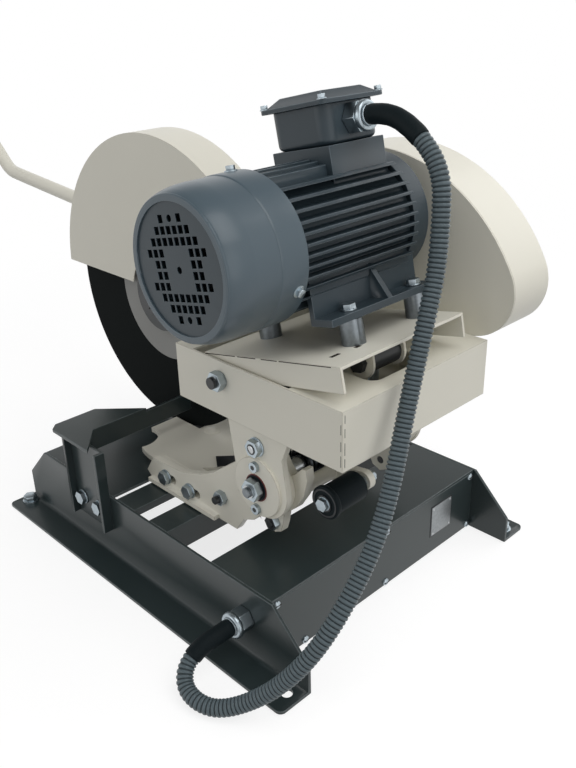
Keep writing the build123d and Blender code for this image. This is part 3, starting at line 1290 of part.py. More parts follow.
def conduit(start):
    """The ribbed conduit in two stretches, and its two rubber sleeves."""
    mouth = Vector(BASE_HALF_WIDTH + GLAND_LENGTH, BASE_GLAND_Y, BASE_GLAND_Z)
    tail = [mouth + Vector(*offset) for offset in CONDUIT_TAIL]
    path = conduit_path(start, tail, mouth)
    length = path.length
    ribs = (CONDUIT_GROOVE_R, CONDUIT_R, CONDUIT_R, CONDUIT_GROOVE_R)
    sleeve = (SLEEVE_R,)
    split = path.param_at_point(path.closest_points(tail[0])[0]) * length
    lower_end = length - LOWER_SLEEVE
    add("upper_sleeve", hose(path, 0, UPPER_SLEEVE, sleeve, RIB_PITCH))
    add("conduit_upper", hose(path, UPPER_SLEEVE, split, ribs, RIB_PITCH))
    add("conduit_lower", hose(path, split, lower_end, ribs, RIB_PITCH))
    add("lower_sleeve", hose(path, lower_end, length, sleeve, RIB_PITCH))


def build():
    """Make every node and write one STEP file for each."""
    base()
    work_tables()
    vise()
    turntable()
    yoke()
    swing_arms(return_spring())
    head_bearings()
    head_box()
    head_bolts()
    spindle()
    disc_guard()
    handle()
    belt_drive()
    motor_plate()
    motor_feet()
    motor_body()
    fan_cover()
    conduit(terminal_box())
    os.makedirs("parts", exist_ok=True)
    for name, shape in NODES.items():
        export_step(shape, f"parts/{name}.step")
    print(len(NODES), "nodes")


build()
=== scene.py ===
"""Pendulum cut-off saw: the finishes, small fittings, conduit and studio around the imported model."""

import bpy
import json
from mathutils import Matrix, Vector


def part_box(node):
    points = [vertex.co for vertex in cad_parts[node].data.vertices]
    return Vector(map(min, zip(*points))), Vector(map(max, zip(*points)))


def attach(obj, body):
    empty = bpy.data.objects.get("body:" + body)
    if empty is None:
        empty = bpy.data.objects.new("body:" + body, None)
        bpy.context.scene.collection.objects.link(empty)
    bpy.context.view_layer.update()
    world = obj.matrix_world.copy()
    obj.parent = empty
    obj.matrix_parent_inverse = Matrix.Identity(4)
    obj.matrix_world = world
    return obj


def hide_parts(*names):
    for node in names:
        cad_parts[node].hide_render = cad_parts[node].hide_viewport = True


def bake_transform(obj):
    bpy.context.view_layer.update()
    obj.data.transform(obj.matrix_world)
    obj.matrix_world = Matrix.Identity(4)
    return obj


bl_info = {
    "name": "Pendulum Cut-off Saw",
    "version": (1, 0, 0),
    "blender": (4, 5, 0),
    "location": "3D View > Sidebar > Saw",
    "description": "Dresses the packed cut-off saw with its finishes, fittings and conduit, and sets up the studio",
    "category": "Object",
}

import json
import math

import bmesh
import bpy
from bpy.props import FloatProperty, FloatVectorProperty, IntProperty, PointerProperty
from mathutils import Matrix, Vector

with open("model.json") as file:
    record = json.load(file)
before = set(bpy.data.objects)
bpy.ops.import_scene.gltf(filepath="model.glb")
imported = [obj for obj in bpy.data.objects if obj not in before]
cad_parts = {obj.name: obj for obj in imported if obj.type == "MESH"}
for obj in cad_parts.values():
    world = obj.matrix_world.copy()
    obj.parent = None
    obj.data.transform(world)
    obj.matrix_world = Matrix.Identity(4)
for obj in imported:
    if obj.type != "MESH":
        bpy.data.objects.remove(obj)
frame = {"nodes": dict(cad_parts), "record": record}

MM = 0.001
BODY_OF = {n: body for body, nodes in frame["record"]["behaviour"]["bodies"].items() for n in nodes}
SLOT_OF = {part["node"]: part["material_slot"] for part in frame["record"]["subparts"]}

# The motor's own frame: its shaft runs along X through the origin, and its plate is tilted about X
MOTOR_TILT = math.radians(12)
MOTOR_AXIS = (151.546, 457.319)
MOTOR_PLACE = Matrix.Translation(Vector((0, *MOTOR_AXIS)) * MM) @ Matrix.Rotation(MOTOR_TILT, 4, "X")

# Control points of the conduit, from the motor's gland to the base's gland
CONDUIT_ROUTE = (
    (-0.0098, 0.19344, 0.57766),
    (-0.0098, 0.2180, 0.5829),
    (-0.006, 0.259, 0.566),
    (-0.003, 0.291, 0.534),
    (0.005, 0.299, 0.490),
    (0.018, 0.306, 0.440),
    (0.039, 0.311, 0.394),
    (0.058, 0.314, 0.344),
    (0.080, 0.319, 0.291),
    (0.108, 0.329, 0.238),
    (0.142, 0.336, 0.187),
    (0.190, 0.336, 0.135),
    (0.222, 0.325, 0.093),
    (0.243, 0.301, 0.054),
    (0.262, 0.273, 0.025),
    (0.282, 0.247, 0.011),
    (0.292, 0.224, 0.0115),
    (0.291, 0.200, 0.016),
    (0.279, 0.188, 0.031),
    (0.257, 0.189, 0.044),
    (0.238, 0.193, 0.049),
    (0.218, 0.193, 0.049),
)
# The control point at which the upper stretch ends and the lower one begins
CONDUIT_SPLIT = 12

# Radius and height pairs of a gland's clamping collar
COLLAR = (
    (0.0112, 0.0), (0.0142, 0.0), (0.0158, 0.0012), (0.0163, 0.0035), (0.0160, 0.0060), (0.0150, 0.0078),
    (0.0132, 0.0086), (0.0112, 0.0080), (0.0112, 0.0),
)

# Middles of the pivot shaft and of the disc, the grip's end and direction, and the camera's place
PIVOT = Vector((0, 161.5, 184.0)) * MM
DISC_MIDDLE = Vector((0, -182.0, 296.0)) * MM
GRIP_END = Vector((-17.0, -772.0, 543.0)) * MM
GRIP_WAY = Vector((0, -145.0, 127.0)).normalized()
CAMERA_PLACE = Vector((682.8, 782.6, 705.0)) * MM


def linear(code):
    """A colour given as sRGB hex, in linear light."""
    parts = [int(code[i:i + 2], 16) / 255 for i in (1, 3, 5)]
    return tuple(c / 12.92 if c <= 0.04045 else ((c + 0.055) / 1.055) ** 2.4 for c in parts)


def size(label, text, value):
    """A length that a user would change."""
    return FloatProperty(name=label, description=text, default=value, min=0.0, subtype="DISTANCE", unit="LENGTH")


def colour(label, text, code):
    """A finish's colour that a user would change."""
    return FloatVectorProperty(name=label, description=text, default=linear(code), min=0, max=1, subtype="COLOR")


class SawSizes(bpy.types.PropertyGroup):
    """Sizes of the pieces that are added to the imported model."""

    edge_round: size("Edge round", "Rounding on the edges of sheet metal", 0.0008)
    bolt_round: size("Bolt round", "Rounding on the edges of bolts and nuts", 0.0005)
    conduit_radius: size("Conduit radius", "Radius over the ribs of the conduit", 0.0097)
    groove_radius: size("Groove radius", "Radius in the grooves of the conduit", 0.0084)
    rib_pitch: size("Rib pitch", "Distance from rib to rib of the conduit", 0.0049)
    sleeve_radius: size("Sleeve radius", "Outer radius of the sleeves on the conduit", 0.0106)
    upper_sleeve: size("Upper sleeve", "Length of the sleeve at the motor", 0.073)
    lower_sleeve: size("Lower sleeve", "Length of the sleeve at the base", 0.054)
    spring_wire: size("Spring wire", "Radius of the return spring's wire", 0.003)
    spring_radius: size("Spring radius", "Radius of the return spring at the middle of its wire", 0.0173)
    grip_length: size("Grip length", "Length of the hand grip", 0.105)
    grip_radius: size("Grip radius", "Radius of the hand grip over its rings", 0.015)
    label_outer: size("Label radius", "Outer radius of the disc's paper ring", 0.096)
    screw_head: size("Screw head", "Radius of the panel screws' heads", 0.0048)
    grip_rings: IntProperty(name="Grip rings", description="Rings round the hand grip", default=9, min=1)


class SawFinishes(bpy.types.PropertyGroup):
    """Colours of the finishes."""

    cream: colour("Cream enamel", "Head, guards, yoke and turntable", "#E7E4D7")
    charcoal: colour("Charcoal enamel", "Base and work tables", "#2D3738")
    motor: colour("Motor enamel", "Motor castings", "#303C43")
    cover: colour("Fan cover enamel", "Pressed fan cover", "#4C5B64")
    zinc: colour("Zinc plate", "Bolts, nuts and glands", "#B4BEC6")
    conduit: colour("Conduit", "Ribs of the conduit", "#535F64")
    disc: colour("Abrasive", "Cutting disc", "#0D0F0F")
    rubber: colour("Rubber", "Sleeves and bumper", "#10171A")


def feed(tree, node, inputs):
    """Puts values, or the sockets of other nodes, into a node's inputs."""
    for key, value in inputs.items():
        if isinstance(value, bpy.types.NodeSocket):
            tree.links.new(value, node.inputs[key])
        else:
            node.inputs[key].default_value = value


def add_node(tree, kind, inputs=None, **settings):
    """Adds one shader node with its settings and what goes into it, and gives its outputs."""
    made = tree.nodes.new("ShaderNode" + kind)
    for key, value in settings.items():
        setattr(made, key, value)
    feed(tree, made, inputs or {})
    return made.outputs


def new_finish(name, inputs):
    """An empty finish with its surface shader, and the Object coordinates that its patterns read."""
    made = bpy.data.materials.new(name)
    made.use_nodes = True
    tree = made.node_tree
    shader = tree.nodes["Principled BSDF"]
    feed(tree, shader, inputs)
    return made, tree, shader, add_node(tree, "TexCoord")["Object"]


def rgba(values):
    """A linear colour with full alpha."""
    return (*values[:3], 1.0)


def shade(values, factor):
    """A colour made darker or lighter by a factor."""
    return tuple(min(1.0, c * factor) for c in values[:3])


def noise(tree, place, grain, detail):
    """A cloudy pattern whose grains have a size in metres."""
    return add_node(tree, "TexNoise", {"Vector": place, "Scale": 1 / grain, "Detail": detail})["Fac"]


def mix_colours(tree, amount, first, second):
    """A colour that goes over into another as the amount rises."""
    return add_node(tree, "Mix", {0: amount, 6: first, 7: second}, data_type="RGBA")[2]


def surface(tree, shader, base, strength, height, grains):
    """Gives a shader its colour, and bumps of a height in metres."""
    bump = add_node(tree, "Bump", {"Strength": strength, "Distance": height, "Height": grains})
    feed(tree, shader, {"Base Color": base, "Normal": bump["Normal"]})


def paint(name, values, worn, roughness, specular, coat, peel, peel_height, wear):
    """Enamel with orange peel, faint mottling and worn edges; peel is the size of the peel's grain in metres."""
    cloud, rub = 0.06, 0.009
    made, tree, shader, place = new_finish(name, {
        "Roughness": roughness, "Specular IOR Level": specular, "Coat Weight": coat, "Coat Roughness": 0.12,
    })
    clouds = noise(tree, place, cloud, 4.0)
    mottled = mix_colours(tree, clouds, rgba(shade(values, 0.985)), rgba(shade(values, 1.015)))
    edge = add_node(tree, "Attribute", attribute_name="edge")["Fac"]
    patchy = add_node(tree, "Math", {0: edge, 1: noise(tree, place, rub, 3.0)}, operation="MULTIPLY")[0]
    amount = add_node(tree, "Math", {0: patchy, 1: wear}, operation="MULTIPLY", use_clamp=True)[0]
    rubbed = mix_colours(tree, amount, mottled, rgba(worn))
    surface(tree, shader, rubbed, 0.25, peel_height, noise(tree, place, peel, 2.0))
    return made


def metal(name, values, other, roughness, patch, grain, grain_height):
    """Bare or plated metal with a second tint in patches and a fine grain; sizes in metres."""
    made, tree, shader, place = new_finish(name, {"Metallic": 1.0})
    clouds = noise(tree, place, patch, 3.0)
    dull = add_node(tree, "MapRange", {"Value": clouds, "To Min": roughness * 0.8, "To Max": roughness * 1.25})
    feed(tree, shader, {"Roughness": dull["Result"]})
    tint = mix_colours(tree, clouds, rgba(values), rgba(other))
    surface(tree, shader, tint, 0.3, grain_height, noise(tree, place, grain, 2.0))
    return made


def matt(name, values, other, roughness, grain, grain_height, specular=0.5):
    """A dull dielectric, such as rubber, with two tones and a grain; sizes in metres."""
    made, tree, shader, place = new_finish(name, {"Roughness": roughness, "Specular IOR Level": specular})
    grains = noise(tree, place, grain, 4.0)
    tone = mix_colours(tree, grains, rgba(values), rgba(other))
    surface(tree, shader, tone, 0.4, grain_height, grains)
    return made


def make_finish(name):
    """Each finish, from what the real surface is and how it was made: its two colours, then its values."""
    look = bpy.context.scene.saw_finishes
    recipes = {
        # Stoving enamel on sheet steel: satin, with orange peel of about 2 mm and dull, slightly brown edges.
        "cream_enamel": (paint, look.cream, "#8F8676", 0.42, 0.4, 0.08, 0.0022, 0.00004, 0.6),
        # Gloss enamel on welded sheet: dark, mirrors the room softly, rubbed pale on its edges.
        "charcoal_enamel": (paint, look.charcoal, "#737C7E", 0.3, 0.4, 0.1, 0.0030, 0.00003, 0.8),
        # Enamel sprayed on cast aluminium: the sand's grain of about 1.5 mm shows through, worn pale on fin tips.
        "motor_enamel": (paint, look.motor, "#7C8890", 0.4, 0.4, 0.05, 0.0015, 0.00012, 0.6),
        # Enamel on a deep-drawn cover: smoother and paler than the castings, with a soft sheen.
        "cover_enamel": (paint, look.cover, "#8C99A2", 0.34, 0.5, 0.1, 0.0026, 0.00004, 0.6),
        # Bright zinc plate: bluish, a little duller in patches.
        "zinc_plate": (metal, look.zinc, "#9BA7AB", 0.32, 0.006, 0.0008, 0.00004),
        # Turned steel: bright, fine tool marks, oiled.
        "turned_steel": (metal, "#C3C6C7", "#A9ADAF", 0.26, 0.010, 0.0006, 0.00003),
        # Black-oxide steel: nearly black, with a dull oily gloss.
        "blackened_steel": (matt, "#16181A", "#24282B", 0.38, 0.0012, 0.00005),
        # Grey cast iron: dark, sandy skin.
        "sand_cast_iron": (matt, "#3B3D3E", "#4C4F50", 0.6, 0.0014, 0.00018),
        # Resin-bonded abrasive: black, with grit of about 1 mm that catches the light.
        "bonded_abrasive": (matt, look.disc, "#181D1D", 0.75, 0.0011, 0.00030, 0.05),
        # Moulded rubber: black, dull, with a faint bloom.
        "moulded_rubber": (matt, look.rubber, "#172023", 0.55, 0.0020, 0.00008, 0.1),
        # Coated strip-wound hose: blue-grey, half gloss on the ribs.
        "conduit_coat": (matt, look.conduit, shade(look.conduit, 1.2), 0.36, 0.0040, 0.00006, 0.35),
        # The same coat down in the grooves, where dust and shade make it dark.
        "conduit_groove": (matt, "#333A3D", "#41494C", 0.7, 0.0040, 0.00006, 0.2),
        # Moulded black plastic: even, with a fine spark-eroded grain.
        "grained_plastic": (matt, "#1B1C1E", "#232527", 0.45, 0.0010, 0.00005),
        # Uncoated label paper, painted darker grey for the shade that it lies in, with fibres of about 1 mm.
        "label_paper": (matt, "#9B9B99", "#ABABA8", 0.8, 0.0012, 0.00004, 0.2),
        # Aluminium sheet, dull from handling: mid grey, soft sheen.
        "dull_aluminium": (metal, "#9EA2A4", "#85898B", 0.45, 0.004, 0.0007, 0.00003),
        # Oil-hardened spring wire: blue-black, smooth.
        "spring_steel": (metal, "#4A4E52", "#3A3D40", 0.35, 0.005, 0.0009, 0.00004),
        # Mild steel tube, oiled: grey, darker than the plated bolts.
        "oiled_steel": (metal, "#858B8F", "#63696D", 0.3, 0.004, 0.0008, 0.00004),
        # Rubber lip seal: dark red, dull.
        "red_seal": (matt, "#5A1F1C", "#6B2924", 0.55, 0.0015, 0.00005),
        # A dark gap between two sheets: shade and dust.
        "shade_gap": (matt, "#2B2723", "#3A342E", 0.9, 0.0030, 0.00005, 0.1),
    }
    maker, first, second, *values = recipes[name]
    first, second = [linear(each) if isinstance(each, str) else each for each in (first, second)]
    return maker(name, first, second, *values)


def finish(name):
    """The finish of that name, made the first time that it is asked for."""
    return bpy.data.materials.get(name) or make_finish(name)


SLOT_FINISH = {
    "base_paint": "charcoal_enamel",
    "cream_paint": "cream_enamel",
    "motor_paint": "motor_enamel",
    "motor_alloy": "motor_enamel",
    "zinc_steel": "zinc_plate",
    "bright_steel": "turned_steel",
    "cast_iron": "sand_cast_iron",
    "abrasive": "bonded_abrasive",
    "black_rubber": "moulded_rubber",
    "black_plastic": "grained_plastic",
}


def show(name, data):
    """A new object in the scene."""
    made = bpy.data.objects.new(name, data)
    bpy.context.scene.collection.objects.link(made)
    return made


def piece(bm, name, finishes, sharp=40):
    """An object at the origin from a bmesh, smooth but for its edges above an angle in degrees."""
    for face in bm.faces:
        face.smooth = True
    mesh = bpy.data.meshes.new(name)
    bm.to_mesh(mesh)
    bm.free()
    mesh.set_sharp_from_angle(angle=math.radians(sharp))
    for each in finishes:
        mesh.materials.append(finish(each))
    return show(name, mesh)


def aim(point, way):
    """The placement that stands local Z along a direction at a point."""
    return Matrix.Translation(point) @ Vector(way).to_track_quat("Z", "Y").to_matrix().to_4x4()


def added(bm, before):
    """The verts that were made after a set of them was taken."""
    return [v for v in bm.verts if v not in before]


def faces_of(verts):
    """The faces round some verts."""
    return list({face for v in verts for face in v.link_faces})


def edges_of(verts):
    """The edges at some verts."""
    return list({e for v in verts for e in v.link_edges})


def of_kind(geom, kind):
    """The verts, the edges or the faces in what an operator gives back."""
    return [g for g in geom if isinstance(g, kind)]


def draw_out(bm, edges):
    """Extrudes a ring of edges, and gives the new verts, the new ring and the faces between the rings."""
    grown = bmesh.ops.extrude_edge_only(bm, edges=edges)["geom"]
    verts = of_kind(grown, bmesh.types.BMVert)
    ring = [e for e in of_kind(grown, bmesh.types.BMEdge) if all(v in verts for v in e.verts)]
    return verts, ring, of_kind(grown, bmesh.types.BMFace)


def draw_up(bm, faces, height):
    """Extrudes flat faces along Z."""
    grown = bmesh.ops.extrude_face_region(bm, geom=faces)["geom"]
    bmesh.ops.translate(bm, vec=(0, 0, height), verts=of_kind(grown, bmesh.types.BMVert))


def round_off(bm, edges, offset, segments=2):
    """Rounds edges, and gives the faces of the rounding."""
    return bmesh.ops.bevel(
        bm, geom=edges, offset=offset, segments=segments, profile=0.5, affect="EDGES", clamp_overlap=False,
        material=-1,
    )["faces"]


def turned(bm, profile, place, steps=32):
    """A turned form: radius and height pairs in metres, spun about local Z."""
    before = set(bm.verts)
    verts = [bm.verts.new((radius, 0, height)) for radius, height in profile]
    edges = [bm.edges.new(pair) for pair in zip(verts, verts[1:])]
    bmesh.ops.spin(
        bm, geom=verts + edges, cent=(0, 0, 0), axis=(0, 0, 1), angle=math.tau, steps=steps, use_merge=True
    )
    bmesh.ops.remove_doubles(bm, verts=added(bm, before), dist=1e-7)
    made = added(bm, before)
    bmesh.ops.recalc_face_normals(bm, faces=faces_of(made))
    bmesh.ops.transform(bm, matrix=place, verts=made)


def hexed(bm, flats, height, place, edge):
    """A hexagon head or nut with its edges rounded."""
    before = set(bm.verts)
    base = bmesh.ops.create_circle(bm, cap_ends=True, segments=6, radius=flats / math.sqrt(3))
    draw_up(bm, faces_of(base["verts"]), height)
    made = added(bm, before)
    bmesh.ops.recalc_face_normals(bm, faces=faces_of(made))
    round_off(bm, edges_of(made), edge)
    bmesh.ops.transform(bm, matrix=place, verts=added(bm, before))


def bar(bm, spans, place=Matrix(), edge=0.0):
    """A block between two bounds on each axis, in metres, with its edges rounded."""
    before = set(bm.verts)
    middle = Vector([(a + b) / 2 for a, b in spans])
    stretch = Matrix.Diagonal((*[b - a for a, b in spans], 1))
    bmesh.ops.create_cube(bm, size=1, matrix=place @ Matrix.Translation(middle) @ stretch)
    if edge:
        round_off(bm, edges_of(added(bm, before)), edge)


def turned_piece(name, own_finish, profile, place, steps, sharp=40):
    """A piece that is one turned form."""
    bm = bmesh.new()
    turned(bm, profile, place, steps)
    return piece(bm, name, [own_finish], sharp)


def convex_edges(bm):
    """The edges of a mesh that stand out."""
    return [e for e in bm.edges if e.is_manifold and e.is_convex]


def dress(name, rounding, own_finish=None, second=None, picks=None, wide=None, wide_rounding=0.0, reshape=None):
    """A node's own shape with rounded edges, worn paint along them and, where picks says so, a second finish.

    The mesh is first given to reshape, and the edges that wide picks by their middle, in millimetres, get the wider
    rounding before the others.
    """
    flat, sharp = math.radians(0.6), math.radians(32)
    bm = bmesh.new()
    bm.from_mesh(frame["nodes"][name].data)
    bmesh.ops.remove_doubles(bm, verts=bm.verts, dist=1e-6)
    bmesh.ops.dissolve_limit(bm, angle_limit=flat, verts=bm.verts, edges=bm.edges)
    worn = bm.faces.layers.float.new("edge")
    if reshape:
        reshape(bm)
    if wide:
        edges = [e for e in convex_edges(bm) if wide((e.verts[0].co + e.verts[1].co) / (2 * MM))]
        round_off(bm, edges, wide_rounding, 4)
    edges = [e for e in convex_edges(bm) if e.calc_face_angle() > sharp]
    for face in round_off(bm, edges, rounding):
        face[worn] = 1.0
    for face in bm.faces:
        face.material_index = 1 if second and picks(face.calc_center_median() / MM) else 0
    names = [own_finish or SLOT_FINISH[SLOT_OF[name]]]
    if second:
        names.append(second)
    dressed = piece(bm, name + "_dressed", names, 50)
    smooth = dressed.modifiers.new("Even shading", "WEIGHTED_NORMAL")
    smooth.keep_sharp = True
    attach(dressed, BODY_OF[name])
    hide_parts(name)


def coat(name, own_finish=None):
    """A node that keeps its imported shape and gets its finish."""
    for each in frame["nodes"][name].material_slots:
        each.material = finish(own_finish or SLOT_FINISH[SLOT_OF[name]])


def radial(point, centre):
    """Distance from an axis along X, in millimetres, for a point and the axis's Y and Z."""
    return math.hypot(point.y - centre[0], point.z - centre[1])


def motor_height(point):
    """Height over the motor's shaft, square to its plate, for a point in millimetres."""
    return (MOTOR_PLACE.inverted() @ (point * MM)).z / MM


def washer(bm, inner, outer, thick, place, steps=40):
    """A flat ring that stands on local Z = 0."""
    turned(bm, [(inner, 0), (outer, 0), (outer, thick), (inner, thick), (inner, 0)], place, steps)


def curve_line(points):
    """Points along the smooth curve that has a route as its control points."""
    data = bpy.data.curves.new("route", "CURVE")
    data.dimensions = "3D"
    spline = data.splines.new("NURBS")
    spline.points.add(len(points) - 1)
    for each, point in zip(spline.points, points):
        each.co = (*point, 1)
    spline.order_u = 3
    spline.use_endpoint_u = True
    spline.resolution_u = 24
    holder = show("route", data)
    mesh = bpy.data.meshes.new_from_object(holder)
    line = [v.co.copy() for v in mesh.vertices]
    bpy.data.meshes.remove(mesh)
    bpy.data.objects.remove(holder)
    bpy.data.curves.remove(data)
    return line


def stations(line):
    """How far along a line each of its points is."""
    along = [0.0]
    for a, b in zip(line, line[1:]):
        along.append(along[-1] + (b - a).length)
    return along


def at(line, along, distance):
    """The point and direction at a distance along a line."""
    index = 0
    while index < len(along) - 2 and along[index + 1] < distance:
        index += 1
    step = line[index + 1] - line[index]
    return line[index] + step * ((distance - along[index]) / step.length), step.normalized()


def hose(name, line, along, marks, finishes, groove=0.0, segments=24):
    """A hose as rings drawn out along a line; marks are distances and radii, and rings below groove get finish 1."""
    bm = bmesh.new()
    point, way = at(line, along, marks[0][0])
    turn = way.to_track_quat("Z", "Y")
    place = Matrix.LocRotScale(point, turn, Vector((1, 1, 1)) * marks[0][1])
    ring = bmesh.ops.create_circle(bm, cap_ends=False, segments=segments, radius=1, matrix=place)
    edges = start_edges = edges_of(ring["verts"])
    for (_, last_radius), (distance, radius) in zip(marks, marks[1:]):
        point, next_way = at(line, along, distance)
        turn = way.rotation_difference(next_way) @ turn
        way = next_way
        next_place = Matrix.LocRotScale(point, turn, Vector((1, 1, 1)) * radius)
        verts, edges, faces = draw_out(bm, edges)
        bmesh.ops.transform(bm, matrix=next_place @ place.inverted(), verts=verts)
        for face in faces:
            face.material_index = 1 if max(last_radius, radius) < groove else 0
        place = next_place
    bmesh.ops.edgeloop_fill(bm, edges=start_edges)
    bmesh.ops.edgeloop_fill(bm, edges=edges)
    bmesh.ops.recalc_face_normals(bm, faces=bm.faces)
    return piece(bm, name, finishes, 60)


def rib_marks(start, end, sizes):
    """Distances and radii of round ribs between two places along the conduit."""
    count = round((end - start) / sizes.rib_pitch)
    pitch = (end - start) / count
    crest, groove = sizes.conduit_radius, sizes.groove_radius
    flank, brow = groove + 0.6 * (crest - groove), crest - 0.0002
    shape = ((0.0, groove), (0.14, groove), (0.2, flank), (0.32, brow), (0.5, crest), (0.68, brow), (0.8, flank),
             (0.86, groove))
    marks = [(start + (index + share) * pitch, radius) for index in range(count) for share, radius in shape]
    return marks + [(end, groove)]


def sleeve_marks(start, end, radius):
    """Distances and radii of a shrunk-on sleeve whose ends draw in."""
    steps, lip, ripple = 14, 0.0008, 0.00012
    mouth, shoulder, skin = radius - 0.0012, radius - 0.0003, radius - 0.0001
    marks = [(start, mouth), (start + lip, shoulder)]
    for index in range(1, steps):
        marks.append((start + (end - start) * index / steps, skin + ripple * math.sin(index * 2.1)))
    return marks + [(end - lip, shoulder), (end, mouth)]


class SAW_OT_conduit(bpy.types.Operator):
    """Ribbed conduit from the motor to the base, with its two sleeves"""

    bl_idname = "saw.conduit"
    bl_label = "Conduit"

    def execute(self, context):
        sizes = context.scene.saw_sizes
        line = curve_line(CONDUIT_ROUTE)
        along = stations(line)
        length = along[-1]
        split_point = Vector(CONDUIT_ROUTE[CONDUIT_SPLIT])
        split = along[min(range(len(line)), key=lambda i: (line[i] - split_point).length)]
        upper_from = sizes.upper_sleeve
        lower_to = length - sizes.lower_sleeve
        finishes = ["conduit_coat", "conduit_groove"]
        dark_below = sizes.groove_radius + 0.0001
        upper_sleeve = hose("upper_sleeve_skin", line, along, sleeve_marks(0, upper_from, sizes.sleeve_radius),
                            ["moulded_rubber"])
        upper = hose("conduit_upper_ribs", line, along, rib_marks(upper_from, split, sizes), finishes, dark_below)
        lower = hose("conduit_lower_ribs", line, along, rib_marks(split, lower_to, sizes), finishes, dark_below)
        lower_sleeve = hose("lower_sleeve_skin", line, along, sleeve_marks(lower_to, length, sizes.sleeve_radius),
                            ["moulded_rubber"])
        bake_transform(upper_sleeve)
        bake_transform(upper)
        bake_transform(lower)
        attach(lower_sleeve, "base")
        for made, node in ((upper_sleeve, "upper_sleeve"), (upper, "conduit_upper"), (lower, "conduit_lower"),
                           (lower_sleeve, "lower_sleeve")):
            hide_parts(node)
        for made, start, end, sleeve in ((upper, upper_from, split, upper_sleeve),
                                         (lower, split, lower_to, lower_sleeve)):
            path = [at(line, along, start)[0]]
            path += [p for p, s in zip(line, along) if start < s < end]
            path.append(at(line, along, end)[0])
        return {"FINISHED"}


class SAW_OT_spring(bpy.types.Operator):
    """Torsion spring round the pivot shaft, with its two legs"""

    bl_idname = "saw.spring"
    bl_label = "Return spring"

    def execute(self, context):
        sizes = context.scene.saw_sizes
        first_x, pitch, quarters, steps_each = 14.0 * MM, 7.0 * MM, 33, 8
        lower_leg, upper_leg = (0, 0.046, 0), (0, 0, 0.07235)
        steps = quarters * steps_each
        start = Vector((first_x, PIVOT.y, PIVOT.z - sizes.spring_radius))
        bm = bmesh.new()
        ring = bmesh.ops.create_circle(bm, segments=14, radius=sizes.spring_wire, matrix=aim(start, (0, 1, 0)))
        first = edges_of(ring["verts"])
        spun = bmesh.ops.spin(
            bm, geom=ring["verts"] + first, cent=PIVOT, axis=(-1, 0, 0), angle=math.pi / 2 * quarters,
            steps=steps, dvec=(pitch / 4 * quarters / steps, 0, 0),
        )["geom_last"]
        for edges, leg in ((first, lower_leg), (of_kind(spun, bmesh.types.BMEdge), upper_leg)):
            verts, rim, _ = draw_out(bm, edges)
            bmesh.ops.translate(bm, vec=leg, verts=verts)
            bmesh.ops.edgeloop_fill(bm, edges=rim)
        bmesh.ops.recalc_face_normals(bm, faces=bm.faces)
        made = piece(bm, "return_spring_coil", ["spring_steel"], 60)
        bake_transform(made)
        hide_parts("return_spring")
        return {"FINISHED"}


class SAW_OT_base(bpy.types.Operator):
    """Welded base, work tables and vise with rounded, rubbed edges"""

    bl_idname = "saw.base"
    bl_label = "Base and tables"

    def execute(self, context):
        edge = context.scene.saw_sizes.edge_round
        for name in ("side_plate_right", "side_plate_left", "rear_deck", "deck_strips", "front_deck", "front_panel",
                     "rear_panel", "work_table_right", "work_table_left", "vise_bracket", "fixed_jaw", "vise_jaw"):
            dress(name, edge)
        # Faces past the screw's own radius belong to its handwheel and crank
        screw_x, screw_z, screw_radius = -165, 189, 8.5
        dress("vise_screw", 0.6 * edge, "turned_steel", "sand_cast_iron",
              lambda p: math.hypot(p.x - screw_x, p.z - screw_z) > screw_radius)
        return {"FINISHED"}


class SAW_OT_turret(bpy.types.Operator):
    """Turntable, yoke and bumper with rounded, rubbed edges"""

    bl_idname = "saw.turret"
    bl_label = "Turntable and yoke"

    def execute(self, context):
        edge = context.scene.saw_sizes.edge_round
        for name in ("turntable_base", "turntable", "yoke_wall_right", "yoke_wall_left", "hook_frame"):
            dress(name, edge)
        dress("bumper", 2 * edge)
        for name in ("kingpin", "pivot_shaft"):
            coat(name)
        return {"FINISHED"}


class SAW_OT_head(bpy.types.Operator):
    """Swing arms, head box, guards, handle rod and spindle arm with rounded, rubbed edges"""

    bl_idname = "saw.head"
    bl_label = "Head and guards"

    def execute(self, context):
        edge = context.scene.saw_sizes.edge_round
        for name in ("swing_arms", "head_box", "spindle_arm"):
            dress(name, edge)
        for name in ("disc_guard", "belt_guard_cover", "belt_guard_back"):
            dress(name, 0.7 * edge)
        coat("clamp_flanges", "sand_cast_iron")
        for name in ("spindle_nut", "spindle_shaft"):
            coat(name, "blackened_steel")
        for name in ("handle_rod", "head_bearings", "abrasive_disc", "motor_pulley", "spindle_pulley"):
            coat(name)
        return {"FINISHED"}


def draw_in_cover(bm):
    """Gives the fan cover's front a long rounded shoulder in place of its short one."""
    # In millimetres: the front's X, the radius that stays, and how far back the short and the long shoulder go
    face, inner_ring, shoulder, reach = 218.0, 68.6, 9.0, 36.0
    for x in (185, 189, 193, 197, 201, 205):
        everything = [*bm.verts, *bm.edges, *bm.faces]
        bmesh.ops.bisect_plane(bm, geom=everything, dist=1e-6, plane_co=(x * MM, 0, 0), plane_no=(1, 0, 0))
    axis = MOTOR_PLACE.translation
    for vert in bm.verts:
        away = Vector((0, vert.co.y - axis.y, vert.co.z - axis.z))
        x = min(vert.co.x / MM, face)
        if x > face - reach and away.length > inner_ring * MM:
            short = math.sqrt(max(0, 1 - (max(0, x - face + shoulder) / shoulder) ** 2))
            long = math.sqrt(max(0, 1 - ((x - face + reach) / reach) ** 2))
            inwards = max(shoulder * (long - short) * MM, inner_ring * MM - away.length)
            vert.co += away.normalized() * inwards


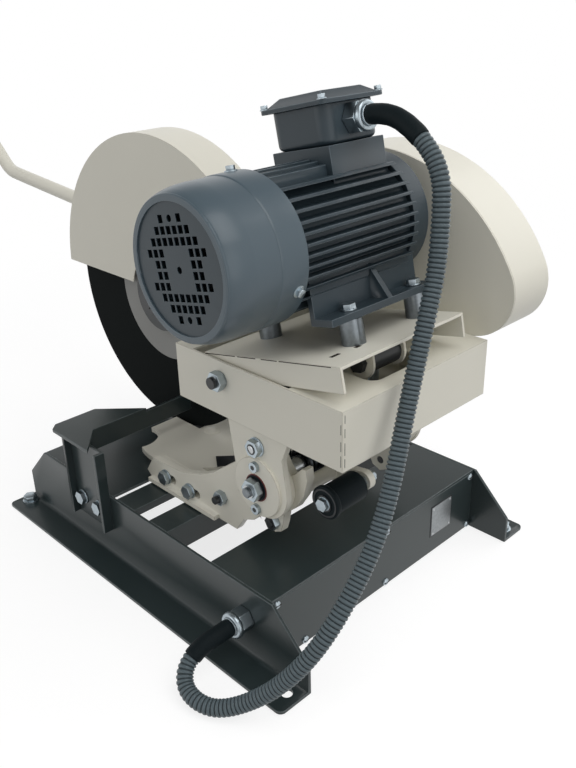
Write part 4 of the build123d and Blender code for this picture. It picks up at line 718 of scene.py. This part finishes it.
class SAW_OT_motor(bpy.types.Operator):
    """Motor castings, fan cover, terminal box and the plate under them"""

    bl_idname = "saw.motor"
    bl_label = "Motor"

    def execute(self, context):
        edge = context.scene.saw_sizes.edge_round
        dress("motor_plate", edge)
        dress("motor_body", 0.8 * edge)
        dress("drive_shield", 1.2 * edge)
        # The grille's bars lie a little back from the front; they take the castings' darker enamel as painted shade,
        # for the front that faces away from the light
        grille_back, grille_front, grille_radius = 213.8, 216.3, 67
        dress("fan_cover", 0.4 * edge, "cover_enamel", "motor_enamel", lambda p: (
            grille_back < p.x < grille_front and radial(p, MOTOR_AXIS) < grille_radius
        ), reshape=draw_in_cover)
        foot_top = 86.2
        dress("terminal_box", 1.2 * edge, wide=lambda p: motor_height(p) < foot_top, wide_rounding=0.006)
        dress("terminal_lid", 1.2 * edge)
        coat("motor_spacers", "oiled_steel")
        coat("tension_barrel", "blackened_steel")
        for name in ("rotor_shaft", "cooling_fan"):
            coat(name)

        # The rear half of the fan cover is drawn a little wider, with a rounded step, and a bead runs round its front
        bm = bmesh.new()
        shaft = aim(MOTOR_PLACE.translation, (1, 0, 0))
        turned(bm, [(0.0786, 0.1214), (0.0799, 0.1214), (0.0799, 0.1544), (0.0797, 0.1554), (0.0791, 0.1566),
                    (0.0786, 0.1566), (0.0786, 0.1214)], shaft, 96)
        bead_radius, bead_x, thick = 0.0716, 0.2162, 0.0017
        turns = [math.tau * step / 12 for step in range(13)]
        bead = [(bead_radius + thick * math.cos(turn), bead_x + thick * math.sin(turn)) for turn in turns]
        turned(bm, bead, shaft, 96)
        made = piece(bm, "fan_cover_band", ["cover_enamel"], 60)
        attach(made, "motor")
        return {"FINISHED"}


class SAW_OT_belts(bpy.types.Operator):
    """Drive belts, in rubber"""

    bl_idname = "saw.belts"
    bl_label = "Drive belts"

    def execute(self, context):
        bm = bmesh.new()
        bm.from_mesh(frame["nodes"]["drive_belts"].data)
        bmesh.ops.remove_doubles(bm, verts=bm.verts, dist=1e-6)
        made = piece(bm, "drive_belts_rubber", ["moulded_rubber"])
        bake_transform(made)
        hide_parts("drive_belts")
        return {"FINISHED"}


class SAW_OT_bolts(bpy.types.Operator):
    """Bolts, nuts, studs and glands with rounded edges"""

    bl_idname = "saw.bolts"
    bl_label = "Bolts and glands"

    def execute(self, context):
        edge = context.scene.saw_sizes.bolt_round
        for name in ("post_bolts", "head_bolts", "foot_bolts", "tension_bolt"):
            dress(name, edge)
        dress("base_gland", 2 * edge)
        dress("motor_gland", 2 * edge, "zinc_plate")

        # Round clamping collars between the glands and their sleeves
        motor_mouth = MOTOR_PLACE @ (Vector((-9.8, 56.5, 109)) * MM)
        base_mouth = Vector((209.2, 193, 49)) * MM
        along = MOTOR_PLACE.to_3x3() @ Vector((0, 1, 0))
        made = turned_piece("gland_collar", "zinc_plate", COLLAR, aim(motor_mouth, along), 40, 50)
        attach(made, "motor")
        made = turned_piece("base_gland_collar", "zinc_plate", COLLAR, aim(base_mouth, (1, 0, 0)), 40, 50)
        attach(made, "base")

        # Blackened ends of the studs: their middles in Y and Z, the faces that they stand out of, and their radii
        stud, lug, hinge = (83.0, 131.0), (165.5, 129.5), (109, 303)
        stud_face, hinge_face, stud_end, hinge_end = 136.3, 152.6, 5.2, 7.2
        dress("hinge_bolt", edge, second="blackened_steel",
              picks=lambda p: p.x > hinge_face and radial(p, hinge) < hinge_end)
        dress("yoke_bolts", edge, second="blackened_steel", picks=lambda p: (
            (radial(p, stud) < stud_end and p.x > stud_face) or radial(p, lug) < stud_end
        ))
        return {"FINISHED"}


class SAW_OT_grip(bpy.types.Operator):
    """Ringed hand grip on the end of the handle rod"""

    bl_idname = "saw.grip"
    bl_label = "Hand grip"

    def execute(self, context):
        sizes = context.scene.saw_sizes
        radius, length = sizes.grip_radius, sizes.grip_length
        bore, groove, ring = 0.0105, radius - 0.0014, radius - 0.0002
        profile = [(bore, -length), (radius - 0.0015, -length), (radius, -length + 0.0015),
                   (radius, -length + 0.006)]
        pitch = (length - 0.016) / sizes.grip_rings
        for index in range(sizes.grip_rings):
            start = -length + 0.008 + index * pitch
            profile += [(groove, start), (groove, start + 0.0022), (ring, start + 0.0034),
                        (ring, start + pitch - 0.0012)]
        profile += [(radius, -0.003), (radius, 0.0028), (radius - 0.0022, 0.005), (0, 0.005)]
        made = turned_piece("handle_grip_rings", "grained_plastic", profile, aim(GRIP_END, GRIP_WAY), 40)
        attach(made, "head")
        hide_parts("handle_grip")
        return {"FINISHED"}


class SAW_OT_label(bpy.types.Operator):
    """Bare paper ring on the abrasive disc"""

    bl_idname = "saw.label"
    bl_label = "Disc's paper ring"

    def execute(self, context):
        outer = context.scene.saw_sizes.label_outer
        inner, thick, face = 0.0505, 0.0003, 2.0 * MM
        place = aim(DISC_MIDDLE + Vector((face, 0, 0)), (1, 0, 0))
        profile = [(inner, 0), (inner, thick), (outer, thick), (outer, 0)]
        made = turned_piece("disc_paper_ring", "label_paper", profile, place, 96)
        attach(made, BODY_OF["abrasive_disc"])
        return {"FINISHED"}


def second_finish(bm, first):
    """Gives the second finish to all faces but a first lot."""
    for face in bm.faces:
        if face not in first:
            face.material_index = 1


def pan_screw(bm, point, way, radius):
    """A round-headed screw with a slot across it."""
    place = aim(point, way)
    turned(bm, [(radius, -0.0004), (radius, 0.0006), (0.93 * radius, 0.0015), (0.7 * radius, 0.0024),
                (0.35 * radius, 0.0029), (0, 0.003)], place, 24)
    head = set(bm.faces)
    bar(bm, ((-0.85 * radius, 0.85 * radius), (-0.0005, 0.0005), (0.0012, 0.00305)), place)
    second_finish(bm, head)


def flanged_screw(bm, point, way, flange, seat, flats, height, edge, steps=24):
    """A hexagon head on a flange of radius and height pairs; seat is the height of the head's foot."""
    turned(bm, flange, aim(point, way), steps)
    hexed(bm, flats, height, aim(point + Vector(way) * seat, way), edge)


class SAW_OT_screws(bpy.types.Operator):
    """Screws of the rear panel, the terminal box's lid and the fan cover"""

    bl_idname = "saw.screws"
    bl_label = "Screws"

    def execute(self, context):
        radius = context.scene.saw_sizes.screw_head
        bm = bmesh.new()
        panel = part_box("rear_panel")[1].y
        for x, z in ((183, 84), (-6, 84), (-183, 84), (140, 7), (-6, 7), (-183, 7)):
            pan_screw(bm, Vector((x * MM, panel, z * MM)), (0, 1, 0), radius)
        made = piece(bm, "rear_panel_screws", ["zinc_plate", "shade_gap"])
        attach(made, "base")

        bm = bmesh.new()
        lid_flange = ((0.0052, 0), (0.0052, 0.0008), (0.0046, 0.0011), (0, 0.0011))
        lid_top = 132
        up = MOTOR_PLACE.to_3x3() @ Vector((0, 0, 1))
        for x in (-53.3, 33.7):
            for v in (-43.5, 43.5):
                point = MOTOR_PLACE @ (Vector((x, v, lid_top)) * MM)
                flanged_screw(bm, point, up, lid_flange, seat=0.0009, flats=0.0072, height=0.0042, edge=0.0004)
        cover_flange = ((0.0068, 0), (0.0068, 0.0009), (0.006, 0.0012), (0, 0.0012))
        screw_x, cover_radius = 132, 79.7
        for turn in (-30.7, 89.3, 209.3):
            turn = math.radians(turn)
            way = MOTOR_PLACE.to_3x3() @ Vector((0, math.cos(turn), math.sin(turn)))
            foot = Vector((screw_x, cover_radius * math.cos(turn), cover_radius * math.sin(turn)))
            flanged_screw(bm, MOTOR_PLACE @ (foot * MM), way, cover_flange, seat=0.001, flats=0.0086,
                          height=0.0046, edge=0.0004)
        made = piece(bm, "motor_screws", ["zinc_plate"])
        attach(made, "motor")
        return {"FINISHED"}


class SAW_OT_pivot_trim(bpy.types.Operator):
    """Seal, sockets and bolt ends on the swing arm's boss, and the bumper's washer"""

    bl_idname = "saw.pivot_trim"
    bl_label = "Pivot trim"

    def execute(self, context):
        right = Vector((1, 0, 0))
        boss = Vector((140.5 * MM, PIVOT.y, PIVOT.z))
        bm = bmesh.new()
        washer(bm, 0.0120, 0.0158, 0.0010, aim(boss, right))
        seal = set(bm.faces)
        washer(bm, 0.0158, 0.0170, 0.0008, aim(boss, right))
        second_finish(bm, seal)
        made = piece(bm, "pivot_seal", ["moulded_rubber", "red_seal"])
        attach(made, "head")

        bm = bmesh.new()
        for z in (156, 212):
            hexed(bm, 0.0056, 0.0004, aim(Vector((145.5 * MM, PIVOT.y, z * MM)), right), 0.0001)
        nut = Vector((146.2 * MM, PIVOT.y, 236 * MM))
        washer(bm, 0.0046, 0.0064, 0.0003, aim(nut, right))
        made = piece(bm, "boss_sockets", ["blackened_steel"])
        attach(made, "head")

        profile = [(0.0047, 0), (0.0047, 0.0009), (0.0040, 0.0014), (0, 0.0014)]
        made = turned_piece("arm_bolt_end", "turned_steel", profile, aim(nut, right), 24)
        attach(made, "head")

        end = Vector((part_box("pivot_shaft")[1].x, PIVOT.y, PIVOT.z))
        profile = [(0, -0.0002), (0.0062, -0.0002), (0.0062, 0.0030), (0.0052, 0.0040), (0, 0.0040)]
        made = turned_piece("pivot_stud_end", "oiled_steel", profile, aim(end, right), 32)
        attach(made, BODY_OF["pivot_shaft"])

        bm = bmesh.new()
        bumper_y, bumper_z = 243 * MM, 187 * MM
        face = Vector((114 * MM, bumper_y, bumper_z))
        washer(bm, 0.0042, 0.0100, 0.0014, aim(face, right))
        washer(bm, 0.0152, 0.0172, 0.0007, aim(face, right), 48)
        made = piece(bm, "bumper_washer", ["blackened_steel"])
        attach(made, "turret")

        # Rubber body of the bumper, behind its end disc
        rear = Vector((62 * MM, bumper_y, bumper_z))
        profile = [(0.0130, 0), (0.0166, 0), (0.0176, 0.0010), (0.0176, 0.0450), (0.0166, 0.0466), (0.0130, 0.0466),
                   (0.0130, 0)]
        made = turned_piece("bumper_body", "moulded_rubber", profile, aim(rear, right), 48)
        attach(made, "turret")
        return {"FINISHED"}


class SAW_OT_seams(bpy.types.Operator):
    """Seams of the folded sheets, slots in the motor's plate and a black plate of painted shade on the turntable"""

    bl_idname = "saw.seams"
    bl_label = "Seams and slots"

    def execute(self, context):
        # Stretches of the seam along the plate's right edge, and two slots in its top
        bm = bmesh.new()
        slot_half = 2.5
        for start, end in ((-101, -48), (-44, -14), (-5, 20), (23, 98)):
            bar(bm, ((0.1336, 0.13415), (start * MM, end * MM), (-0.1156, -0.1147)), MOTOR_PLACE)
        for x, v, long in ((104, 75.5, 13), (72.5, 78, 8)):
            across = ((x - long / 2) * MM, (x + long / 2) * MM)
            along = ((v - slot_half) * MM, (v + slot_half) * MM)
            bar(bm, (across, along, (-0.1142, -0.11385)), MOTOR_PLACE)
        made = piece(bm, "motor_plate_seams", ["shade_gap"])
        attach(made, "motor")

        # Seams of the head box's rear right corner, on its rear and on its right side
        bm = bmesh.new()
        for low, high in ((312, 321), (296, 306), (276, 290), (262, 272)):
            bar(bm, ((0.1360, 0.1367), (0.2917, 0.29215), (low * MM, high * MM)))
        for low, high in ((300, 311), (281, 292), (263, 276)):
            bar(bm, ((0.1397, 0.14015), (0.2897, 0.2904), (low * MM, high * MM)))
        made = piece(bm, "head_box_seams", ["shade_gap"])
        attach(made, "head")

        # A black plate with its outer edge on the turntable's rim, beside the right wall: painted shade that fills
        # the dark notch there
        bm = bmesh.new()
        turning_plate, thick = 0.0085, 0.0014
        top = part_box("turntable_base")[1].z + turning_plate
        outline = [(46.9, -28.5), (63.0, -6.5), (48.0, 3.4), (33.0, 9.3), (21.0, -4.0)]
        face = bm.faces.new([bm.verts.new((x * MM, y * MM, top)) for x, y in outline])
        draw_up(bm, [face], thick)
        bmesh.ops.recalc_face_normals(bm, faces=bm.faces)
        made = piece(bm, "notch_shade_plate", ["blackened_steel"])
        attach(made, "turret")

        # A painted cap over the kingpin
        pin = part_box("kingpin")
        middle = Vector(((pin[0].x + pin[1].x) / 2, (pin[0].y + pin[1].y) / 2, top))
        radius = 0.0125
        profile = [(0, 0), (radius, 0), (radius, 0.0004), (radius - 0.0005, 0.0008), (0, 0.0008)]
        made = turned_piece("kingpin_cap", "cream_enamel", profile, aim(middle, (0, 0, 1)), 48)
        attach(made, "turret")
        return {"FINISHED"}


class SAW_OT_floor_bolts(bpy.types.Operator):
    """Bolts with washers in the base's floor holes"""

    bl_idname = "saw.floor_bolts"
    bl_label = "Floor bolts"

    def execute(self, context):
        bm = bmesh.new()
        top = 4.0 * MM
        flange = ((0, 0), (0.0115, 0), (0.0115, 0.0015), (0.0108, 0.002), (0, 0.002))
        for x, y in ((211, -276), (-211, -276), (-211, 276)):
            flanged_screw(bm, Vector((x * MM, y * MM, top)), (0, 0, 1), flange, seat=0.0019, flats=0.017,
                          height=0.0075, edge=0.0006, steps=32)
        made = piece(bm, "floor_bolts", ["zinc_plate"])
        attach(made, "base")
        return {"FINISHED"}


class SAW_OT_plate(bpy.types.Operator):
    """Blank rating plate on the rear panel, with its rivets"""

    bl_idname = "saw.plate"
    bl_label = "Blank plate"

    def execute(self, context):
        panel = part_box("rear_panel")[1].y
        low, high = Vector((-141, 0, 29)) * MM, Vector((-99, 0, 73)) * MM
        sunk, front, rim, inset = panel - 0.0002, panel + 0.0009, 0.0018, 0.003
        bm = bmesh.new()
        bar(bm, ((low.x, high.x), (sunk, front), (low.z, high.z)), edge=0.0003)
        made = piece(bm, "blank_plate", ["dull_aluminium"])
        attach(made, "base")
        bm = bmesh.new()
        backing = ((low.x - rim, high.x + rim), (sunk, panel + 0.0005), (low.z - rim, high.z + rim))
        bar(bm, backing, edge=0.0002)
        made = piece(bm, "blank_plate_backing", ["blackened_steel"])
        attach(made, "base")
        bm = bmesh.new()
        for x in (low.x + inset, high.x - inset):
            for z in (low.z + inset, high.z - inset):
                turned(bm, [(0.0016, 0), (0.0013, 0.0006), (0, 0.0009)], aim(Vector((x, front, z)), (0, 1, 0)), 16)
        made = piece(bm, "blank_plate_rivets", ["turned_steel"])
        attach(made, "base")
        return {"FINISHED"}


WHITE = (1, 1, 1, 1)


def either(tree, first, second):
    """The greater of two values."""
    return add_node(tree, "Math", {0: first, 1: second}, operation="MAXIMUM")[0]


def empty_tree(made):
    """The emptied node tree of a material or world."""
    made.use_nodes = True
    made.node_tree.nodes.clear()
    return made.node_tree


def make_floor_finish():
    """A floor that takes soft shadows near the saw and goes over into plain white further out."""
    tree = empty_tree(bpy.data.materials.new("studio_floor"))
    sees = add_node(tree, "LightPath")
    direct = either(tree, sees["Is Camera Ray"], sees["Is Glossy Ray"])
    seen = either(tree, direct, sees["Is Transmission Ray"])
    dull = add_node(tree, "BsdfDiffuse", {"Color": (0.3, 0.3, 0.3, 1)})[0]
    lift = add_node(tree, "Emission", {"Color": WHITE, "Strength": 0.78})[0]
    near = add_node(tree, "AddShader", {0: dull, 1: lift})[0]
    far = add_node(tree, "Emission", {"Color": WHITE, "Strength": 1.0})[0]
    place = add_node(tree, "TexCoord")["Object"]
    reach = add_node(tree, "VectorMath", {0: place}, operation="LENGTH")["Value"]
    fade = add_node(tree, "MapRange", {
        "Value": reach, "From Min": 0.6, "From Max": 1.6,
    }, interpolation_type="SMOOTHSTEP")["Result"]
    shown = add_node(tree, "MixShader", {0: fade, 1: near, 2: far})[0]
    mixed = add_node(tree, "MixShader", {0: seen, 1: dull, 2: shown})[0]
    add_node(tree, "OutputMaterial", {"Surface": mixed})


def make_world():
    """White all round at eye level, with a dim ceiling that only reflections show."""
    made = bpy.data.worlds.new("studio")
    tree = empty_tree(made)
    sees = add_node(tree, "LightPath")
    mirrored = either(tree, sees["Is Glossy Ray"], sees["Is Transmission Ray"])
    height = add_node(tree, "SeparateXYZ", {0: add_node(tree, "TexCoord")["Generated"]})["Z"]
    ceiling = add_node(tree, "MapRange", {
        "Value": height, "From Min": 0.3, "From Max": 0.75, "To Min": 1.0, "To Max": 0.22,
    }, interpolation_type="SMOOTHSTEP")["Result"]
    soft = add_node(tree, "Mix", {0: mirrored, 2: 0.46, 3: ceiling})[0]
    strength = add_node(tree, "Mix", {0: sees["Is Camera Ray"], 2: soft, 3: 1.0})[0]
    sky = add_node(tree, "Background", {"Color": WHITE, "Strength": strength})[0]
    add_node(tree, "OutputWorld", {"Surface": sky})
    return made


class SAW_OT_stage(bpy.types.Operator):
    """Pale floor, soft light and the camera"""

    bl_idname = "saw.stage"
    bl_label = "Studio"

    def execute(self, context):
        scene = context.scene
        scene.view_settings.view_transform = "Standard"
        scene.world = make_world()
        make_floor_finish()
        bm = bmesh.new()
        bmesh.ops.create_circle(bm, cap_ends=True, segments=64, radius=30, matrix=Matrix.Translation((0, 0, -0.0004)))
        floor = piece(bm, "floor", ["studio_floor"])

        # Each lamp's name, place, power in watts and width in metres; all point at the saw's middle
        target = Vector((0, 0, 0.3))
        for name, place, power, width in (
            ("left", (-2.0, 0.6, 1.6), 11, 1.6),
            ("overhead", (0.0, 1.2, 2.2), 19, 1.6),
            ("rear", (0.3, 2.4, 0.8), 6, 1.6),
            ("right", (2.2, -0.4, 0.9), 6.5, 1.4),
        ):
            data = bpy.data.lights.new(name, "AREA")
            data.energy = power
            data.size = width
            lamp = show(name, data)
            lamp.location = place
            lamp.rotation_euler = (target - Vector(place)).to_track_quat("-Z", "Y").to_euler()

        turn, rise, roll = math.radians(136.17), math.radians(25.44), math.radians(-1.56)
        back = Vector((math.sin(turn) * math.cos(rise), -math.cos(turn) * math.cos(rise), math.sin(rise)))
        right = Vector((math.cos(turn), math.sin(turn), 0))
        up = back.cross(right)
        level = Matrix((right, up, back)).transposed().to_4x4()
        data = bpy.data.cameras.new("camera")
        data.sensor_fit = "VERTICAL"
        data.sensor_height = 36
        data.lens = 39.91
        camera = show("camera", data)
        camera.matrix_world = Matrix.Translation(CAMERA_PLACE) @ level @ Matrix.Rotation(roll, 4, "Z")
        scene.camera = camera
        return {"FINISHED"}


# In the order in which they are run
OPERATORS = (
    SAW_OT_stage, SAW_OT_conduit, SAW_OT_spring, SAW_OT_base, SAW_OT_turret, SAW_OT_head, SAW_OT_motor,
    SAW_OT_belts, SAW_OT_bolts, SAW_OT_grip, SAW_OT_label, SAW_OT_screws, SAW_OT_pivot_trim, SAW_OT_seams,
    SAW_OT_floor_bolts, SAW_OT_plate,
)


class SAW_PT_panel(bpy.types.Panel):
    """The saw's pieces, sizes and colours"""

    bl_idname = "SAW_PT_panel"
    bl_label = "Cut-off saw"
    bl_space_type = "VIEW_3D"
    bl_region_type = "UI"
    bl_category = "Saw"

    def draw(self, context):
        for group in (context.scene.saw_sizes, context.scene.saw_finishes):
            box = self.layout.box()
            for name in group.__annotations__:
                box.prop(group, name)
        for each in OPERATORS:
            self.layout.operator(each.bl_idname)


CLASSES = (SawSizes, SawFinishes, *OPERATORS, SAW_PT_panel)


def register():
    for each in CLASSES:
        bpy.utils.register_class(each)
    bpy.types.Scene.saw_sizes = PointerProperty(type=SawSizes)
    bpy.types.Scene.saw_finishes = PointerProperty(type=SawFinishes)


def unregister():
    del bpy.types.Scene.saw_finishes
    del bpy.types.Scene.saw_sizes
    for each in reversed(CLASSES):
        bpy.utils.unregister_class(each)


def main():
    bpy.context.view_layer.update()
    register()
    for each in OPERATORS:
        getattr(bpy.ops.saw, each.bl_idname.partition(".")[2])()


if __name__ == "__main__":
    main()
